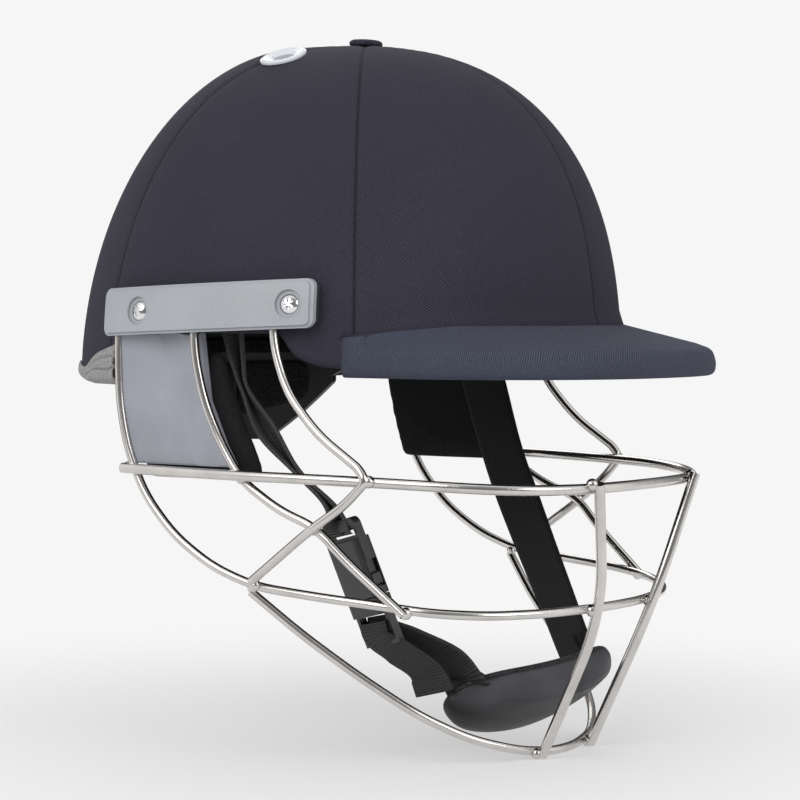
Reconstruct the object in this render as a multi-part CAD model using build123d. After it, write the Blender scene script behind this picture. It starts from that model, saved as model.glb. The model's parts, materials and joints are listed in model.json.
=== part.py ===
from build123d import *
import math
import os

# Cricket helmet with a welded wire face guard.
# Millimetres. +Z up, -Y to the front, +X to the wearer's left.
# Origin at the middle of the head opening, at brim level.

# Crown, outside of the cloth
crown_half_width = 103.0
crown_front = 151.5
crown_rear = 107.7
crown_middle = 21.9
crown_base = -4.2
crown_height = 152.8
crown_side_roundness = 2.15
crown_front_roundness = 2.75
crown_rear_roundness = 1.88
crown_level_shares = (0, 0.15, 0.3, 0.45, 0.6, 0.72, 0.82, 0.9, 0.955, 0.985, 0.998)

# Layers, from the outside in
cloth = 0.8
shell_wall = 3.0
liner_side = 13.0
liner_end = 20.0
pad_thickness = 8.0
fit_gap = 0.3
seam_gap = 0.5
overrun = 40.0

# Cap seams, measured round the button from straight ahead
button_y = -8.0
seam_angles = (0, 56, 125, 180)
button_radius = 7.5
button_height = 2.6
button_rim = 1.0
button_stem = 2.2

# Lower edge of the shell, seen from the side
rear_edge = 0.5
rear_edge_lift = 7.5
ear_edge = 20.5
brow_edge = 4.0
ear_rear = 52.0
ear_front = -46.0
edge_corner = 8.0

# Peak
peak_half_width = 86.0
peak_root_y = -60.0
peak_middle = -77.0
peak_reach = 94.0
peak_squareness = 2.3
peak_under = 2.0
peak_rim = 7.0
peak_shoulder = 8.0
peak_shoulder_rise = 5.2
peak_side_share = 0.2
peak_joint = 23.4
peak_seat = 1.0
peak_joint_fall = 4.4
peak_heel = 9.0
peak_wall = 3.2
peak_nose = 1.6
peak_points = 9

# Vents in the crown
vent_x = 34.0
vent_y = 12.0
vent_bore = 4.5
eyelet_radius = 10.5
eyelet_flange = 1.4
eyelet_wall = 1.2
eyelet_dish = 0.8
eyelet_droop = 0.2

# Side plates, with the wires clamped under them
plate_length = 108.0
plate_height = 20.4
plate_corner = 3.6
plate_wall = 3.0
plate_y = 2.0
plate_z = 31.0
plate_tilt = -2.2
plate_step = 1.3
plate_step_wall = 1.1
spacer_margin = 1.5
screw_spacing = 74.7
screw_middle = -4.9
screw_shank = 2.0
screw_head = 4.3
screw_head_height = 1.9
screw_recess = 6.0
screw_recess_depth = 1.3
screw_star = 2.4
nut_radius = 6.5
nut_thickness = 1.5
nut_barrel = 3.2

# Wires
bar_wire = 4.4
side_wire = 3.8
wire_clear = 0.6
groove_clear = 0.15
wire_top = 35.0
bend_share = 0.42

# Ear guards between the rear and the middle uprights
guard_x = 101.2
guard_wall = 4.2
guard_edge = 1.0
guard_crease = 1.0
guard_crease_radius = 22.0
guard_crease_top = (18.0, 16.1)
guard_crease_foot = (1.5, -27.9)
ear_pad_wall = 6.5
ear_pad_edge = 2.2

# Strap posts inside the shell
post_y = -4.0
post_z = 28.0
post_radius = 2.4
post_flange = 6.5
post_flange_wall = 2.0
post_cap_radius = 4.6
post_cap_wall = 1.6
post_reach = 20.0

# Webbing
strap_width = 20.0
strap_wide = 24.0
strap_wall = 1.6

# Buckle
buckle_width = 25.0
buckle_depth = 8.4
socket_length = 25.0
socket_wall = 1.6
loop_length = 9.0
loop_bar = 3.4
loop_slot = 2.6
clip_base = 7.0
clip_gap = 0.5
ladder_length = 13.5
ladder_bar = 2.4
ladder_slot = 3.2
tongue_width = 5.0
tongue_length = 20.0
arm_width = 3.4
arm_length = 18.0
arm_hook = 1.7
arm_depth = 4.2
window_length = 12.0
window_height = 5.2

# Chin cup
cup_half_length = 51.0
cup_long = 19.0
cup_short = 7.0
cup_y = -101.0
cup_z = -135.5
cup_bow = 6.2
cup_skew = 6.0
cup_lean_y = 0.62
cup_lean_z = 0.78
cup_taper = 0.84
cup_seam = 0.8
cup_shares = (-1, -0.8, -0.45, 0, 0.45, 0.8, 1)

# Fit cradle at the nape
cradle_half_width = 71.0
cradle_rear = 84.0
cradle_middle = 21.0
cradle_wall = 2.4
cradle_top = 9.0
cradle_foot = -33.0
cradle_front = 58.0
cradle_arm_foot = -5.0
cradle_arm_taper = 4.0
cradle_sweep = 14.0
cradle_knee = -20.0
cradle_flat = 20.0
cradle_corner = 3.0
cradle_travel = 12.0
cradle_window = 9.0
nape_pad = 5.0
nape_pad_share = 0.8
band_height = 9.0
band_wall = 1.6
band_front = -16.0
band_inset = 4.0
band_lap = 8.0
band_corner = 2.0
dial_radius = 11.5
dial_wall = 6.0
dial_z = -17.0
dial_bearing = 4.0
dial_grips = 18
dial_grip = 1.1


def rounding(share, power):
    """How far a rounded profile still reaches out at a share of its height."""
    return (1 - share**power) ** (1 / power)


def egg(half_width, front, rear):
    """Flat egg shape: half an ellipse to the front and half of another to the rear."""
    ahead = EllipticalCenterArc((0, 0), half_width, front, 180, arc_size=180)
    behind = EllipticalCenterArc((0, 0), half_width, rear, 0, arc_size=180)
    return make_face([ahead, behind])


def crown(grow, ends=0.0):
    """The crown's outside moved outwards by grow, and its two ends by ends more."""
    sections = []
    for share in crown_level_shares:
        half = (crown_half_width + grow) * rounding(share, crown_side_roundness)
        front = (crown_front + grow + ends) * rounding(share, crown_front_roundness)
        rear = (crown_rear + grow + ends) * rounding(share, crown_rear_roundness)
        level = crown_base + share * (crown_height + grow + ends)
        sections.append(Pos(0, crown_middle, level) * egg(half, front, rear))
    return loft(sections)


def crown_side(y, z, grow=0.0):
    """Half the crown's width at one place, on the surface moved out by grow."""
    share = (z - crown_base) / (crown_height + grow)
    if y < crown_middle:
        reach = (crown_front + grow) * rounding(share, crown_front_roundness)
    else:
        reach = (crown_rear + grow) * rounding(share, crown_rear_roundness)
    half = (crown_half_width + grow) * rounding(share, crown_side_roundness)
    return half * math.sqrt(1 - ((y - crown_middle) / reach) ** 2)


def crown_top(x, y, grow=0.0):
    """Height of the crown's outside over one place, found by halving."""
    low, high = 0.0, 1.0
    for _ in range(40):
        share = (low + high) / 2
        half = (crown_half_width + grow) * rounding(share, crown_side_roundness)
        front = (crown_front + grow) * rounding(share, crown_front_roundness)
        rear = (crown_rear + grow) * rounding(share, crown_rear_roundness)
        reach = front if y < crown_middle else rear
        if (x / half) ** 2 + ((y - crown_middle) / reach) ** 2 < 1:
            low = share
        else:
            high = share
    return crown_base + low * (crown_height + grow)


def side_cut(points, corner):
    """A solid across the whole width, from an outline seen from the side."""
    outline = FilletPolyline(*points, radius=corner, close=True)
    face = Plane.YZ * make_face(outline)
    return extrude(face, amount=2 * crown_half_width, both=True)


def lower_cut():
    """What is cut away below the shell's edge: low nape, high ears, level brow."""
    front = peak_middle - peak_reach - overrun
    rear = crown_middle + crown_rear
    floor = crown_base - overrun
    slope = ear_edge - brow_edge
    points = [
        (front, floor),
        (rear + overrun, floor),
        (rear + overrun, rear_edge_lift),
        (rear - rear_edge_lift, rear_edge_lift),
        (rear - 3 * slope, rear_edge),
        (ear_rear + slope, rear_edge),
        (ear_rear, ear_edge),
        (ear_front, ear_edge),
        (ear_front - slope, brow_edge),
        (front, brow_edge),
    ]
    return side_cut(points, edge_corner)


def peak_outline(grow, y_root, setback=0.0):
    """The peak's plan: straight root, full sides and a rounded front, set back from it."""
    half = peak_half_width + grow - peak_side_share * setback
    reach = peak_reach + grow - setback
    right = [(half, y_root)]
    for n in range(peak_points):
        angle = math.pi / 2 * n / (peak_points - 1)
        x = half * math.cos(angle) ** (2 / peak_squareness)
        y = peak_middle - reach * math.sin(angle) ** (2 / peak_squareness)
        right.append((x, y))
    points = right + [(-x, y) for x, y in reversed(right[:-1])]
    front = Spline(*points, tangents=[(0, -1), (0, 1)])
    return make_face([front, Line(front @ 1, front @ 0)])


def joint_outline(grow):
    """The crown's plan at the height of the peak's seam, sunk a little into it."""
    share = (peak_joint - crown_base) / crown_height
    sunk = grow - peak_seat
    half = (crown_half_width + sunk) * rounding(share, crown_side_roundness)
    front = (crown_front + sunk) * rounding(share, crown_front_roundness)
    slant = math.asin((crown_middle - peak_root_y) / front)
    start = math.degrees(slant)
    arc = EllipticalCenterArc((0, crown_middle), half, front, 180 + start, arc_size=180 - 2 * start)
    return make_face([arc, Line(arc @ 1, arc @ 0)])


def peak(grow):
    """The peak's body with its outside moved out by grow."""
    rim = Pos(0, 0, peak_under - grow) * peak_outline(grow, peak_root_y)
    rim = extrude(rim, amount=peak_rim + grow)
    low = Pos(0, 0, peak_under + peak_rim) * peak_outline(grow, peak_root_y)
    shoulder = peak_outline(grow, peak_root_y, peak_shoulder)
    middle = Pos(0, 0, peak_under + peak_rim + peak_shoulder_rise) * shoulder
    high = Pos(0, 0, peak_joint + grow) * joint_outline(grow)
    slope = loft([low, middle], ruled=True) + loft([middle, high], ruled=True)
    nose = rim.edges().group_by(Axis.Z)[0].filter_by(GeomType.BSPLINE)
    rim = fillet(nose, peak_nose)
    return (rim + slope) & peak_side(grow)


def peak_side(grow):
    """The peak's side view: its seam falls to the rear and rounds down the heel."""
    front = peak_middle - peak_reach - overrun
    heel = peak_joint - peak_joint_fall + grow
    points = [
        (peak_root_y, -overrun),
        (peak_root_y, heel),
        (peak_root_y - overrun, peak_joint + grow),
        (front, peak_joint + peak_joint_fall + grow),
        (front, -overrun),
    ]
    return side_cut(points, peak_heel)


def peak_hollow():
    """The space under the peak, which follows its top."""
    low_z = peak_under - overrun
    drop = Pos(0, 0, low_z) * peak_outline(-peak_wall, peak_root_y + overrun)
    drop = extrude(drop, amount=peak_under + peak_wall / 2 - low_z)
    low = Pos(0, 0, peak_under + peak_wall / 2) * peak_outline(-peak_wall, peak_root_y + overrun)
    high = Pos(0, 0, peak_joint - peak_wall) * joint_outline(-peak_wall)
    return drop + loft([low, high], ruled=True)


def both(piece):
    """A right-hand piece and its mirror image."""
    return [piece, mirror(piece, about=Plane.YZ)]


def crown_place(x, y):
    """Square to the crown on its right-hand side or its middle."""
    step = vent_bore
    rise_x = crown_top(x - step, y) - crown_top(x + step, y)
    rise_y = crown_top(x, y + step) - crown_top(x, y - step)
    roll = math.degrees(math.atan(rise_x / (2 * step)))
    pitch = math.degrees(math.atan(rise_y / (2 * step)))
    return Pos(-x, y, crown_top(x, y)) * Rot(pitch, 0, 0) * Rot(0, -roll, 0)


def vents(radius):
    """What is bored away for the two vents."""
    return both(crown_place(vent_x, vent_y) * Cylinder(radius, 2 * overrun))


def screw_places():
    """Rear and front screw centres along the tilted plate."""
    places = []
    for end in (1, -1):
        along = screw_middle - plate_y + end * screw_spacing / 2
        y = plate_y + along
        z = plate_z + along * math.tan(math.radians(plate_tilt))
        places.append((y, z))
    return places


def screw_axis(y, z):
    """On the right-hand plate's face, square to it."""
    step = screw_shank
    grow = plate_grow()
    rise_y = crown_side(y + step, z, grow) - crown_side(y - step, z, grow)
    rise_z = crown_side(y, z - step, grow) - crown_side(y, z + step, grow)
    turn = math.degrees(math.atan(rise_y / (2 * step)))
    lift = math.degrees(math.atan(rise_z / (2 * step)))
    return Pos(-crown_side(y, z, grow), y, z) * Rot(0, 0, turn) * Rot(0, lift - 90, 0)


def screw_bores(radius):
    """What is bored away on both sides for the screws or their nuts."""
    bores = []
    for y, z in screw_places():
        bores += both(screw_axis(y, z) * Cylinder(radius, overrun))
    return bores


def build_shell(layers):
    """The crown's stiff shell, open below."""
    shell = layers["shell"] - layers["shell_inside"]
    shell -= lower_cut()
    shell -= vents(vent_bore + eyelet_wall + fit_gap)
    shell -= crown_place(0, button_y) * Cylinder(button_stem, overrun)
    shell -= screw_bores(nut_barrel + fit_gap / 2)
    return shell


def build_peak_core(layers):
    """The peak's stiff core, thin walled and open below."""
    core = peak(-cloth) - layers["shell"]
    return core - peak_hollow()


def seam_wedge(start, end):
    """An upright wedge round the button between two seams."""
    reach = crown_front + crown_rear
    gap = seam_gap / 2
    points = [(0, 0)]
    steps = 4
    for n in range(steps + 1):
        angle = math.radians(start + (end - start) * n / steps)
        points.append((reach * math.sin(angle), -reach * math.cos(angle)))
    face = make_face(Polyline(*points, close=True))
    face = offset(face, amount=-gap)
    return Pos(0, button_y, crown_base - overrun) * extrude(face, amount=crown_height + 2 * overrun)


def build_panels(layers):
    """Six cloth panels over the crown, parted at the seams."""
    skin = layers["cloth"] - layers["shell"]
    skin -= lower_cut()
    skin -= peak(0)
    skin -= vents(vent_bore + eyelet_wall + fit_gap)
    skin -= screw_bores(nut_barrel + fit_gap / 2)
    skin -= crown_place(0, button_y) * Cylinder(button_stem, overrun)
    panels = {}
    names = ("front", "side", "rear")
    for n, name in enumerate(names):
        wedge = seam_wedge(seam_angles[n], seam_angles[n + 1])
        piece = skin & wedge
        panels["panel_" + name + "_left"] = piece
        panels["panel_" + name + "_right"] = mirror(piece, about=Plane.YZ)
    return panels


def build_peak_cover(layers):
    """Cloth over the peak's top and rim."""
    cover = peak(0) - peak(-cloth)
    cover -= layers["cloth"]
    return cover - peak_hollow()


def build_button():
    """Covered button that holds the cap's seams at the top."""
    disc = Pos(0, 0, button_height / 2) * Cylinder(button_radius, button_height)
    disc = fillet(disc.edges().group_by(Axis.Z)[-1], button_rim)
    stem = Pos(0, 0, -(shell_wall + cloth) / 2) * Cylinder(button_stem - fit_gap / 2, shell_wall + cloth)
    return crown_place(0, button_y) * (disc + stem)


def build_eyelet():
    """Dished flange and barrel that line one vent, tilted with the crown."""
    outer = vent_bore + eyelet_wall
    reach = cloth + shell_wall
    profile = make_face(
        Polyline(
            (vent_bore, -reach),
            (outer, -reach),
            (outer, 0),
            (eyelet_radius, -eyelet_droop),
            (eyelet_radius, eyelet_flange / 2),
            (eyelet_radius - eyelet_flange, eyelet_flange),
            (outer, eyelet_flange - eyelet_dish),
            (vent_bore, eyelet_flange - 2 * eyelet_dish),
            close=True,
        )
    )
    ring = revolve(Plane.XZ * profile, axis=Axis.Z)
    return crown_place(vent_x, vent_y) * ring


def build_liner(layers):
    """Foam liner under the shell, cut high over the ears."""
    rear = crown_middle + crown_rear
    front = crown_middle - crown_front
    floor = crown_base - overrun
    high = plate_z + plate_height / 2
    points = [
        (front - overrun, floor),
        (rear + overrun, floor),
        (rear + overrun, cradle_top + pad_thickness),
        (ear_rear + pad_thickness, cradle_top + pad_thickness),
        (ear_rear - edge_corner, high),
        (ear_front, high),
        (ear_front - 2 * edge_corner, ear_edge),
        (front - overrun, ear_edge),
    ]
    liner = layers["shell_gap"] - layers["liner_inside"]
    liner -= side_cut(points, edge_corner)
    liner -= vents(vent_bore)
    return liner


def pad_piece(layers, box):
    """A comfort pad on the inside of the liner, within a box."""
    return (layers["liner_gap"] - layers["pad_inside"]) & box


def build_brow_pad(layers):
    front = crown_middle - crown_front
    length = crown_half_width + liner_end
    box = Pos(0, front + length / 4, ear_edge + 2 * pad_thickness)
    return pad_piece(layers, box * Box(length, length / 2, 3 * pad_thickness))


def build_crown_pad(layers):
    length = crown_front / 2
    box = Pos(0, crown_middle - liner_end, crown_height)
    width = (vent_x - vent_bore - eyelet_wall) * 2 - pad_thickness
    return pad_piece(layers, box * Box(width, 2 * length, 3 * overrun))


def build_side_pad(layers):
    """Right-hand pad above the ear."""
    high = plate_z + plate_height
    box = Pos(-crown_half_width, crown_middle, high + 3 * pad_thickness)
    return pad_piece(layers, box * Box(crown_half_width, crown_half_width, 4 * pad_thickness))


def build_nape_roll(layers):
    """Soft roll inside the rear rim, a little proud of the cloth's edge."""
    rear = crown_middle + crown_rear
    roll = layers["shell_gap"] - layers["roll_inside"]
    top = cradle_top + pad_thickness - 2 * fit_gap
    middle = (top - pad_thickness / 2) / 2
    front = ear_rear + pad_thickness + edge_corner
    box = Pos(0, (front + rear) / 2, middle)
    return roll & box * Box(2 * crown_half_width, rear - front, top + pad_thickness / 2)


def plate_face(margin, corner):
    """The plate's rounded outline in the side view, drawn in by a margin."""
    face = RectangleRounded(plate_length - 2 * margin, plate_height - 2 * margin, corner)
    return Plane.YZ * Pos(plate_y, plate_z) * Rot(0, 0, plate_tilt) * face


def plate_slab(margin, corner):
    """The outline carried out to the right-hand side."""
    return extrude(plate_face(margin, corner), amount=-2 * crown_half_width)


def build_plate(layers):
    """Right-hand plate: a curved bar with a raised field and two screw recesses."""
    edge = layers["plate_step"] - layers["plate_inside"]
    field = layers["plate"] - layers["plate_inside"]
    plate = edge & plate_slab(0, plate_corner)
    plate += field & plate_slab(plate_step, plate_corner - plate_step)
    for y, z in screw_places():
        recess = screw_axis(y, z) * Pos(0, 0, overrun / 2 - screw_recess_depth)
        plate -= recess * Cylinder(screw_recess, overrun)
    return plate - screw_bores(screw_shank + fit_gap)


def plate_grow():
    """How far the plate's face stands out from the cloth."""
    return side_wire + wire_clear + groove_clear + plate_wall


def build_spacer(layers, wires):
    """Rubber under the right-hand plate, grooved for the three uprights."""
    spacer = layers["plate_inside"] - layers["cloth_gap"]
    spacer &= plate_slab(spacer_margin, plate_corner - spacer_margin)
    spacer -= screw_bores(screw_shank + fit_gap)
    for wire in wires:
        spacer -= wire
    return spacer


def build_screw(y, z):
    """Right-hand screw: low domed head with a star recess, and its shank."""
    length = plate_grow() - screw_recess_depth + cloth + shell_wall
    dome_radius = (screw_head**2 + screw_head_height**2) / (2 * screw_head_height)
    dome = Pos(0, 0, screw_head_height - dome_radius) * Sphere(dome_radius)
    dome &= Pos(0, 0, screw_head_height / 2) * Cylinder(screw_head, screw_head_height)
    for turn in (0, 60, 120):
        bar = Pos(0, 0, screw_head_height) * Rot(0, 0, turn)
        dome -= bar * Box(2 * screw_star, screw_star / 3, screw_head_height)
    shank = Pos(0, 0, -length / 2) * Cylinder(screw_shank, length)
    return screw_axis(y, z) * Pos(0, 0, -screw_recess_depth) * (dome + shank)


def build_nut(layers, y, z):
    """Right-hand nut: flange that follows the shell's inside, barrel through it."""
    place = screw_axis(y, z) * Pos(0, 0, -plate_grow() - cloth - shell_wall)
    flange = place * Cylinder(nut_radius, 2 * nut_thickness) & layers["shell_gap"]
    barrel = place * Pos(0, 0, (shell_wall - nut_thickness) / 2)
    barrel *= Cylinder(nut_barrel, shell_wall + nut_thickness)
    return flange + barrel - place * Cylinder(screw_shank + fit_gap, overrun)


def arc_radii(points):
    """Bend radii of a wire: as large as its runs leave room for."""
    radii = []
    for before, here, after in zip(points, points[1:], points[2:]):
        first = Vector(*here) - Vector(*before)
        second = Vector(*after) - Vector(*here)
        run = min(first.length, second.length)
        turn = math.radians(first.get_angle(second))
        radii.append(bend_share * run / math.tan(turn / 2))
    return radii


def bent_wire(points, diameter):
    """A round wire along straight runs joined by bends."""
    path = FilletPolyline(*points, radius=arc_radii(points))
    start = Plane(origin=path @ 0, z_dir=path % 0)
    return sweep(start * Circle(diameter / 2), path=path)


def mirrored(points):
    """A right-hand route carried on to the left-hand side."""
    return list(points) + [(-x, y, z) for x, y, z in reversed(points)]


def upright_top(y):
    """Where a wire comes out from under the plate."""
    z = plate_z - plate_height / 2
    return -(crown_side(y, z) + side_wire / 2 + wire_clear)


def upright_end(y):
    """The wire's end under the plate."""
    return -(crown_side(y, wire_top) + side_wire / 2 + wire_clear)


rear_upright = [
    (upright_end(50.0), 50.0, wire_top),
    (upright_top(49.6), 49.6, 14.0),
    (-101.0, 48.8, -9.0),
    (-101.6, 44.0, -29.0),
    (-101.6, 34.5, -48.5),
    (-100.9, 18.5, -65.5),
    (-100.0, -2.0, -77.8),
    (-98.6, -24.0, -84.8),
    (-96.6, -52.0, -87.2),
    (-93.0, -82.5, -89.2),
    (-86.3, -104.5, -91.6),
    (-70.0, -121.5, -93.1),
    (-46.0, -134.5, -93.4),
    (-15.0, -141.5, -93.4),
]

upper_bar = [
    (-105.6, 43.5, -37.6),
    (-105.4, 15.0, -38.2),
    (-104.8, -14.0, -38.5),
    (-101.0, -48.0, -38.8),
    (-95.4, -78.0, -39.3),
    (-90.2, -104.0, -40.0),
    (-79.0, -125.5, -41.2),
    (-62.0, -141.0, -42.0),
    (-40.0, -150.6, -42.3),
    (-14.0, -153.6, -42.3),
]

chin_bar = [
    (-97.9, -21.2, -87.2),
    (-87.8, -39.5, -104.4),
    (-77.2, -61.6, -121.6),
    (-64.6, -82.6, -137.4),
    (-48.5, -98.2, -148.4),
    (-28.0, -109.6, -154.8),
    (-9.0, -113.4, -157.2),
]

middle_wire = [
    (upright_end(5.2), 5.2, wire_top),
    (upright_top(4.4), 4.4, 13.0),
    (-102.0, 0.4, -8.0),
    (-100.8, -7.6, -25.5),
    (-100.3, -18.6, -41.0),
    (-100.3, -38.5, -52.4),
    (-100.0, -57.4, -58.6),
    (-97.4, -70.8, -71.6),
    (-93.0, -96.5, -92.2),
]

front_wire = [
    (upright_end(-32.0), -32.0, wire_top),
    (upright_top(-33.4), -33.4, 15.0),
    (-98.2, -41.0, -3.5),
    (-98.6, -57.0, -20.6),
    (-98.3, -78.0, -33.8),
    (-98.5, -81.6, -38.9),
    (-99.9, -72.0, -48.8),
    (-103.9, -56.4, -60.0),
    (-101.8, -24.5, -82.6),
]

front_vertical = [
    (-39.2, -155.1, -40.0),
    (-20.4, -145.4, -94.8),
    (-19.1, -114.9, -157.8),
]

# Ear guard and the pad behind it, seen from the side
guard_outline = [
    (50.0, 20.2),
    (3.8, 20.2),
    (0.0, -8.0),
    (-8.5, -26.0),
    (-14.6, -35.6),
    (40.6, -35.6),
    (46.5, -20.0),
    (50.0, -5.0),
]

ear_pad_outline = [
    (51.0, 13.0),
    (-3.4, 13.0),
    (-12.0, -8.0),
    (-24.0, -34.0),
    (-25.6, -43.0),
    (39.0, -43.0),
    (46.0, -20.0),
]

# Where the buckle hangs: both ends of its axis, and the way across it
buckle_top = (-75.0, -50.6, -57.6)
buckle_foot = (-66.2, -65.6, -104.4)
buckle_side = (0.36, 0.93, -0.2)

# Webbing: centre of each station, and the direction its width runs in
left_strap = [
    ((87.0, -1.0, 36.0), (0, 1, -0.25)),
    ((87.0, -3.0, 27.0), (0, 1, -0.25)),
    ((86.6, -9.0, 10.0), (0, 1, -0.35)),
    ((84.5, -17.0, -12.0), (0, 1, -0.4)),
    ((79.0, -30.5, -41.0), (0.1, 1, -0.4)),
    ((69.5, -49.0, -68.0), (0.15, 1, -0.45)),
    ((58.0, -73.0, -102.0), (0.3, 1, -0.5)),
    ((49.0, -90.0, -124.0), (0.4, 1, -0.4)),
]

right_strap = [
    ((-87.0, -2.0, 36.0), (0, 1, -0.1)),
    ((-87.0, -3.5, 27.0), (0, 1, -0.1)),
    ((-86.8, -5.5, 10.0), (0, 1, -0.1)),
    ((-84.8, -8.0, -4.0), (0.35, 1, 0)),
    ((-83.0, -18.0, -21.0), (0.5, 1, -0.3)),
    ((-79.5, -33.5, -39.0), (0.5, 1, -0.3)),
]

lower_strap = [
    ((-57.6, -74.2, -108.1), (0.3, 0.9, -0.5)),
    ((-49.0, -85.0, -116.6), (0.3, 0.8, -0.6)),
    ((-44.8, -91.8, -125.5), (0.3, 0.8, -0.6)),
]

strap_tail = [
    ((-64.6, -73.0, -112.0), (0.3, 0.9, -0.4)),
    ((-59.6, -78.6, -120.0), (0.25, 0.95, -0.3)),
    ((-56.0, -80.9, -129.3), (0.2, 0.95, -0.1)),
]


def ribbon(stations, width):
    """Flat webbing through a row of stations, turning as they turn."""
    sections = []
    last = len(stations) - 1
    for n, (centre, across_dir) in enumerate(stations):
        before = Vector(*stations[max(n - 1, 0)][0])
        after = Vector(*stations[min(n + 1, last)][0])
        along = (after - before).normalized()
        side = Vector(*across_dir)
        side = (side - along * side.dot(along)).normalized()
        plane = Plane(origin=centre, x_dir=side, z_dir=along)
        sections.append(plane * Rectangle(width, strap_wall))
    return loft(sections)


def post_inner_face():
    """The shell's inside at the strap post."""
    return crown_side(post_y, post_z) - cloth - shell_wall - fit_gap


def build_strap_post(layers):
    """Right-hand post: flange on the shell, pin for strap and band, end cap."""
    place = Pos(-post_inner_face(), post_y, post_z) * Rot(0, 90, 0)
    flange = place * Cylinder(post_flange, 2 * post_flange_wall) & layers["shell_gap"]
    pin = Pos(0, 0, post_reach / 2) * Cylinder(post_radius, post_reach)
    cap = Pos(0, 0, post_reach + post_cap_wall / 2) * Cylinder(post_cap_radius, post_cap_wall)
    return flange + place * (pin + cap)


def post_hole():
    """Room for the strap posts in what hangs on them."""
    rod = Cylinder(post_radius + fit_gap, 2 * crown_half_width)
    return Pos(0, post_y, post_z) * Rot(0, 90, 0) * rod


def guard_hollow():
    """The soft crease that runs down and forward over the guard's outside."""
    top_y, top_z = guard_crease_top
    foot_y, foot_z = guard_crease_foot
    turn = math.degrees(math.atan2(top_y - foot_y, top_z - foot_z))
    x = -guard_x + guard_crease - guard_crease_radius
    middle = Pos(x, (top_y + foot_y) / 2, (top_z + foot_z) / 2)
    return middle * Rot(-turn, 0, 0) * Cylinder(guard_crease_radius, 3 * overrun)


def build_guard(wires):
    """Right-hand ear guard: a moulding held between two uprights."""
    face = Plane.YZ * make_face(Polyline(*guard_outline, close=True))
    slab = Pos(-guard_x, 0, 0) * extrude(face, amount=guard_wall)
    slab = fillet(slab.faces().sort_by(Axis.X)[0].edges(), guard_edge)
    slab -= guard_hollow()
    for wire in wires:
        slab -= wire
    return slab


def build_ear_pad():
    """Right-hand soft pad behind the ear guard, proud of it to the front."""
    inner = -guard_x + guard_wall + fit_gap
    face = Plane.YZ * make_face(FilletPolyline(*ear_pad_outline, radius=ear_pad_edge, close=True))
    pad = Pos(inner, 0, 0) * extrude(face, amount=ear_pad_wall)
    return fillet(pad.faces().sort_by(Axis.X)[-1].edges(), ear_pad_edge)


def buckle_plane():
    """The buckle's own frame: X across the webbing, Y down it, Z outwards."""
    down = (Vector(*buckle_foot) - Vector(*buckle_top)).normalized()
    side = Vector(*buckle_side)
    side = (side - down * side.dot(down)).normalized()
    return Plane(origin=buckle_top, x_dir=side, z_dir=side.cross(down))


def on_buckle(down, out):
    """A webbing station some way down the buckle, and out from its middle."""
    spot = buckle_plane().from_local_coords((0, down, out))
    return (tuple(spot), buckle_side)


def build_right_straps():
    """The near strap's three runs: to the buckle, on to the cup, and the tail."""
    rest = (loop_bar + strap_wall) / 2
    ladder = clip_top() + clip_base
    above = [on_buckle(-loop_length / 2, rest / 2), on_buckle(loop_length - loop_slot, rest)]
    inside = [on_buckle(ladder + ladder_slot / 2, -rest), on_buckle(ladder + ladder_slot * 2, -rest)]
    outside = [on_buckle(ladder + ladder_slot, rest), on_buckle(ladder + ladder_length - ladder_slot, rest)]
    upper = ribbon(right_strap + above, strap_width) - post_hole()
    lower = ribbon(inside + lower_strap, strap_width)
    tail = ribbon(outside + strap_tail, strap_width)
    return upper, lower, tail


def slab(width, length, depth, centre_y):
    return Pos(0, centre_y, 0) * Box(width, length, depth)


def build_socket():
    """Female half: webbing loop above, open socket with two side windows."""
    length = socket_length
    shell = slab(buckle_width, length, buckle_depth, loop_length + length / 2)
    shell = fillet(shell.edges().filter_by(Axis.Y), buckle_depth / 3)
    inner_width = buckle_width - 2 * socket_wall
    inner_depth = buckle_depth - 2 * socket_wall
    room = length - socket_wall
    shell -= slab(inner_width, room, inner_depth, loop_length + length - room / 2)
    window_y = loop_length + length - window_length / 2 - 2 * socket_wall
    shell -= slab(buckle_width + overrun, window_length, window_height, window_y)
    loop = slab(buckle_width, loop_length + socket_wall, loop_bar, (loop_length + socket_wall) / 2)
    loop = fillet(loop.edges().filter_by(Axis.Z).group_by(Axis.Y)[0], loop_bar)
    slot_y = loop_length - loop_slot
    loop -= slab(strap_width + clip_gap, loop_slot, overrun, slot_y)
    return buckle_plane().location * (shell + loop)


def clip_top():
    """Where the clip's base starts, just below the socket's mouth."""
    return loop_length + socket_length + clip_gap


def build_clip():
    """Male half: tongue into the socket, base block and a webbing ladder."""
    top = clip_top()
    base = slab(buckle_width, clip_base, buckle_depth, top + clip_base / 2)
    base = fillet(base.edges().filter_by(Axis.Y), buckle_depth / 3)
    tongue = slab(tongue_width, tongue_length, arm_depth, top - tongue_length / 2)
    foot = top + clip_base
    ladder = slab(buckle_width, ladder_length, loop_bar, foot + ladder_length / 2)
    for n in range(2):
        y = foot + ladder_slot / 2 + n * (ladder_slot + ladder_bar)
        ladder -= slab(strap_width + clip_gap, ladder_slot, overrun, y + clip_gap)
    roots = []
    for side in (-1, 1):
        x = side * (buckle_width / 2 - socket_wall - clip_gap - arm_width / 2)
        root = Pos(x, top, 0) * Box(arm_width + 2 * clip_gap, 3 * clip_gap, arm_depth + 2 * clip_gap)
        roots.append(root)
    clip = base + tongue + ladder
    for root in roots:
        clip -= root
    return buckle_plane().location * clip


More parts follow.
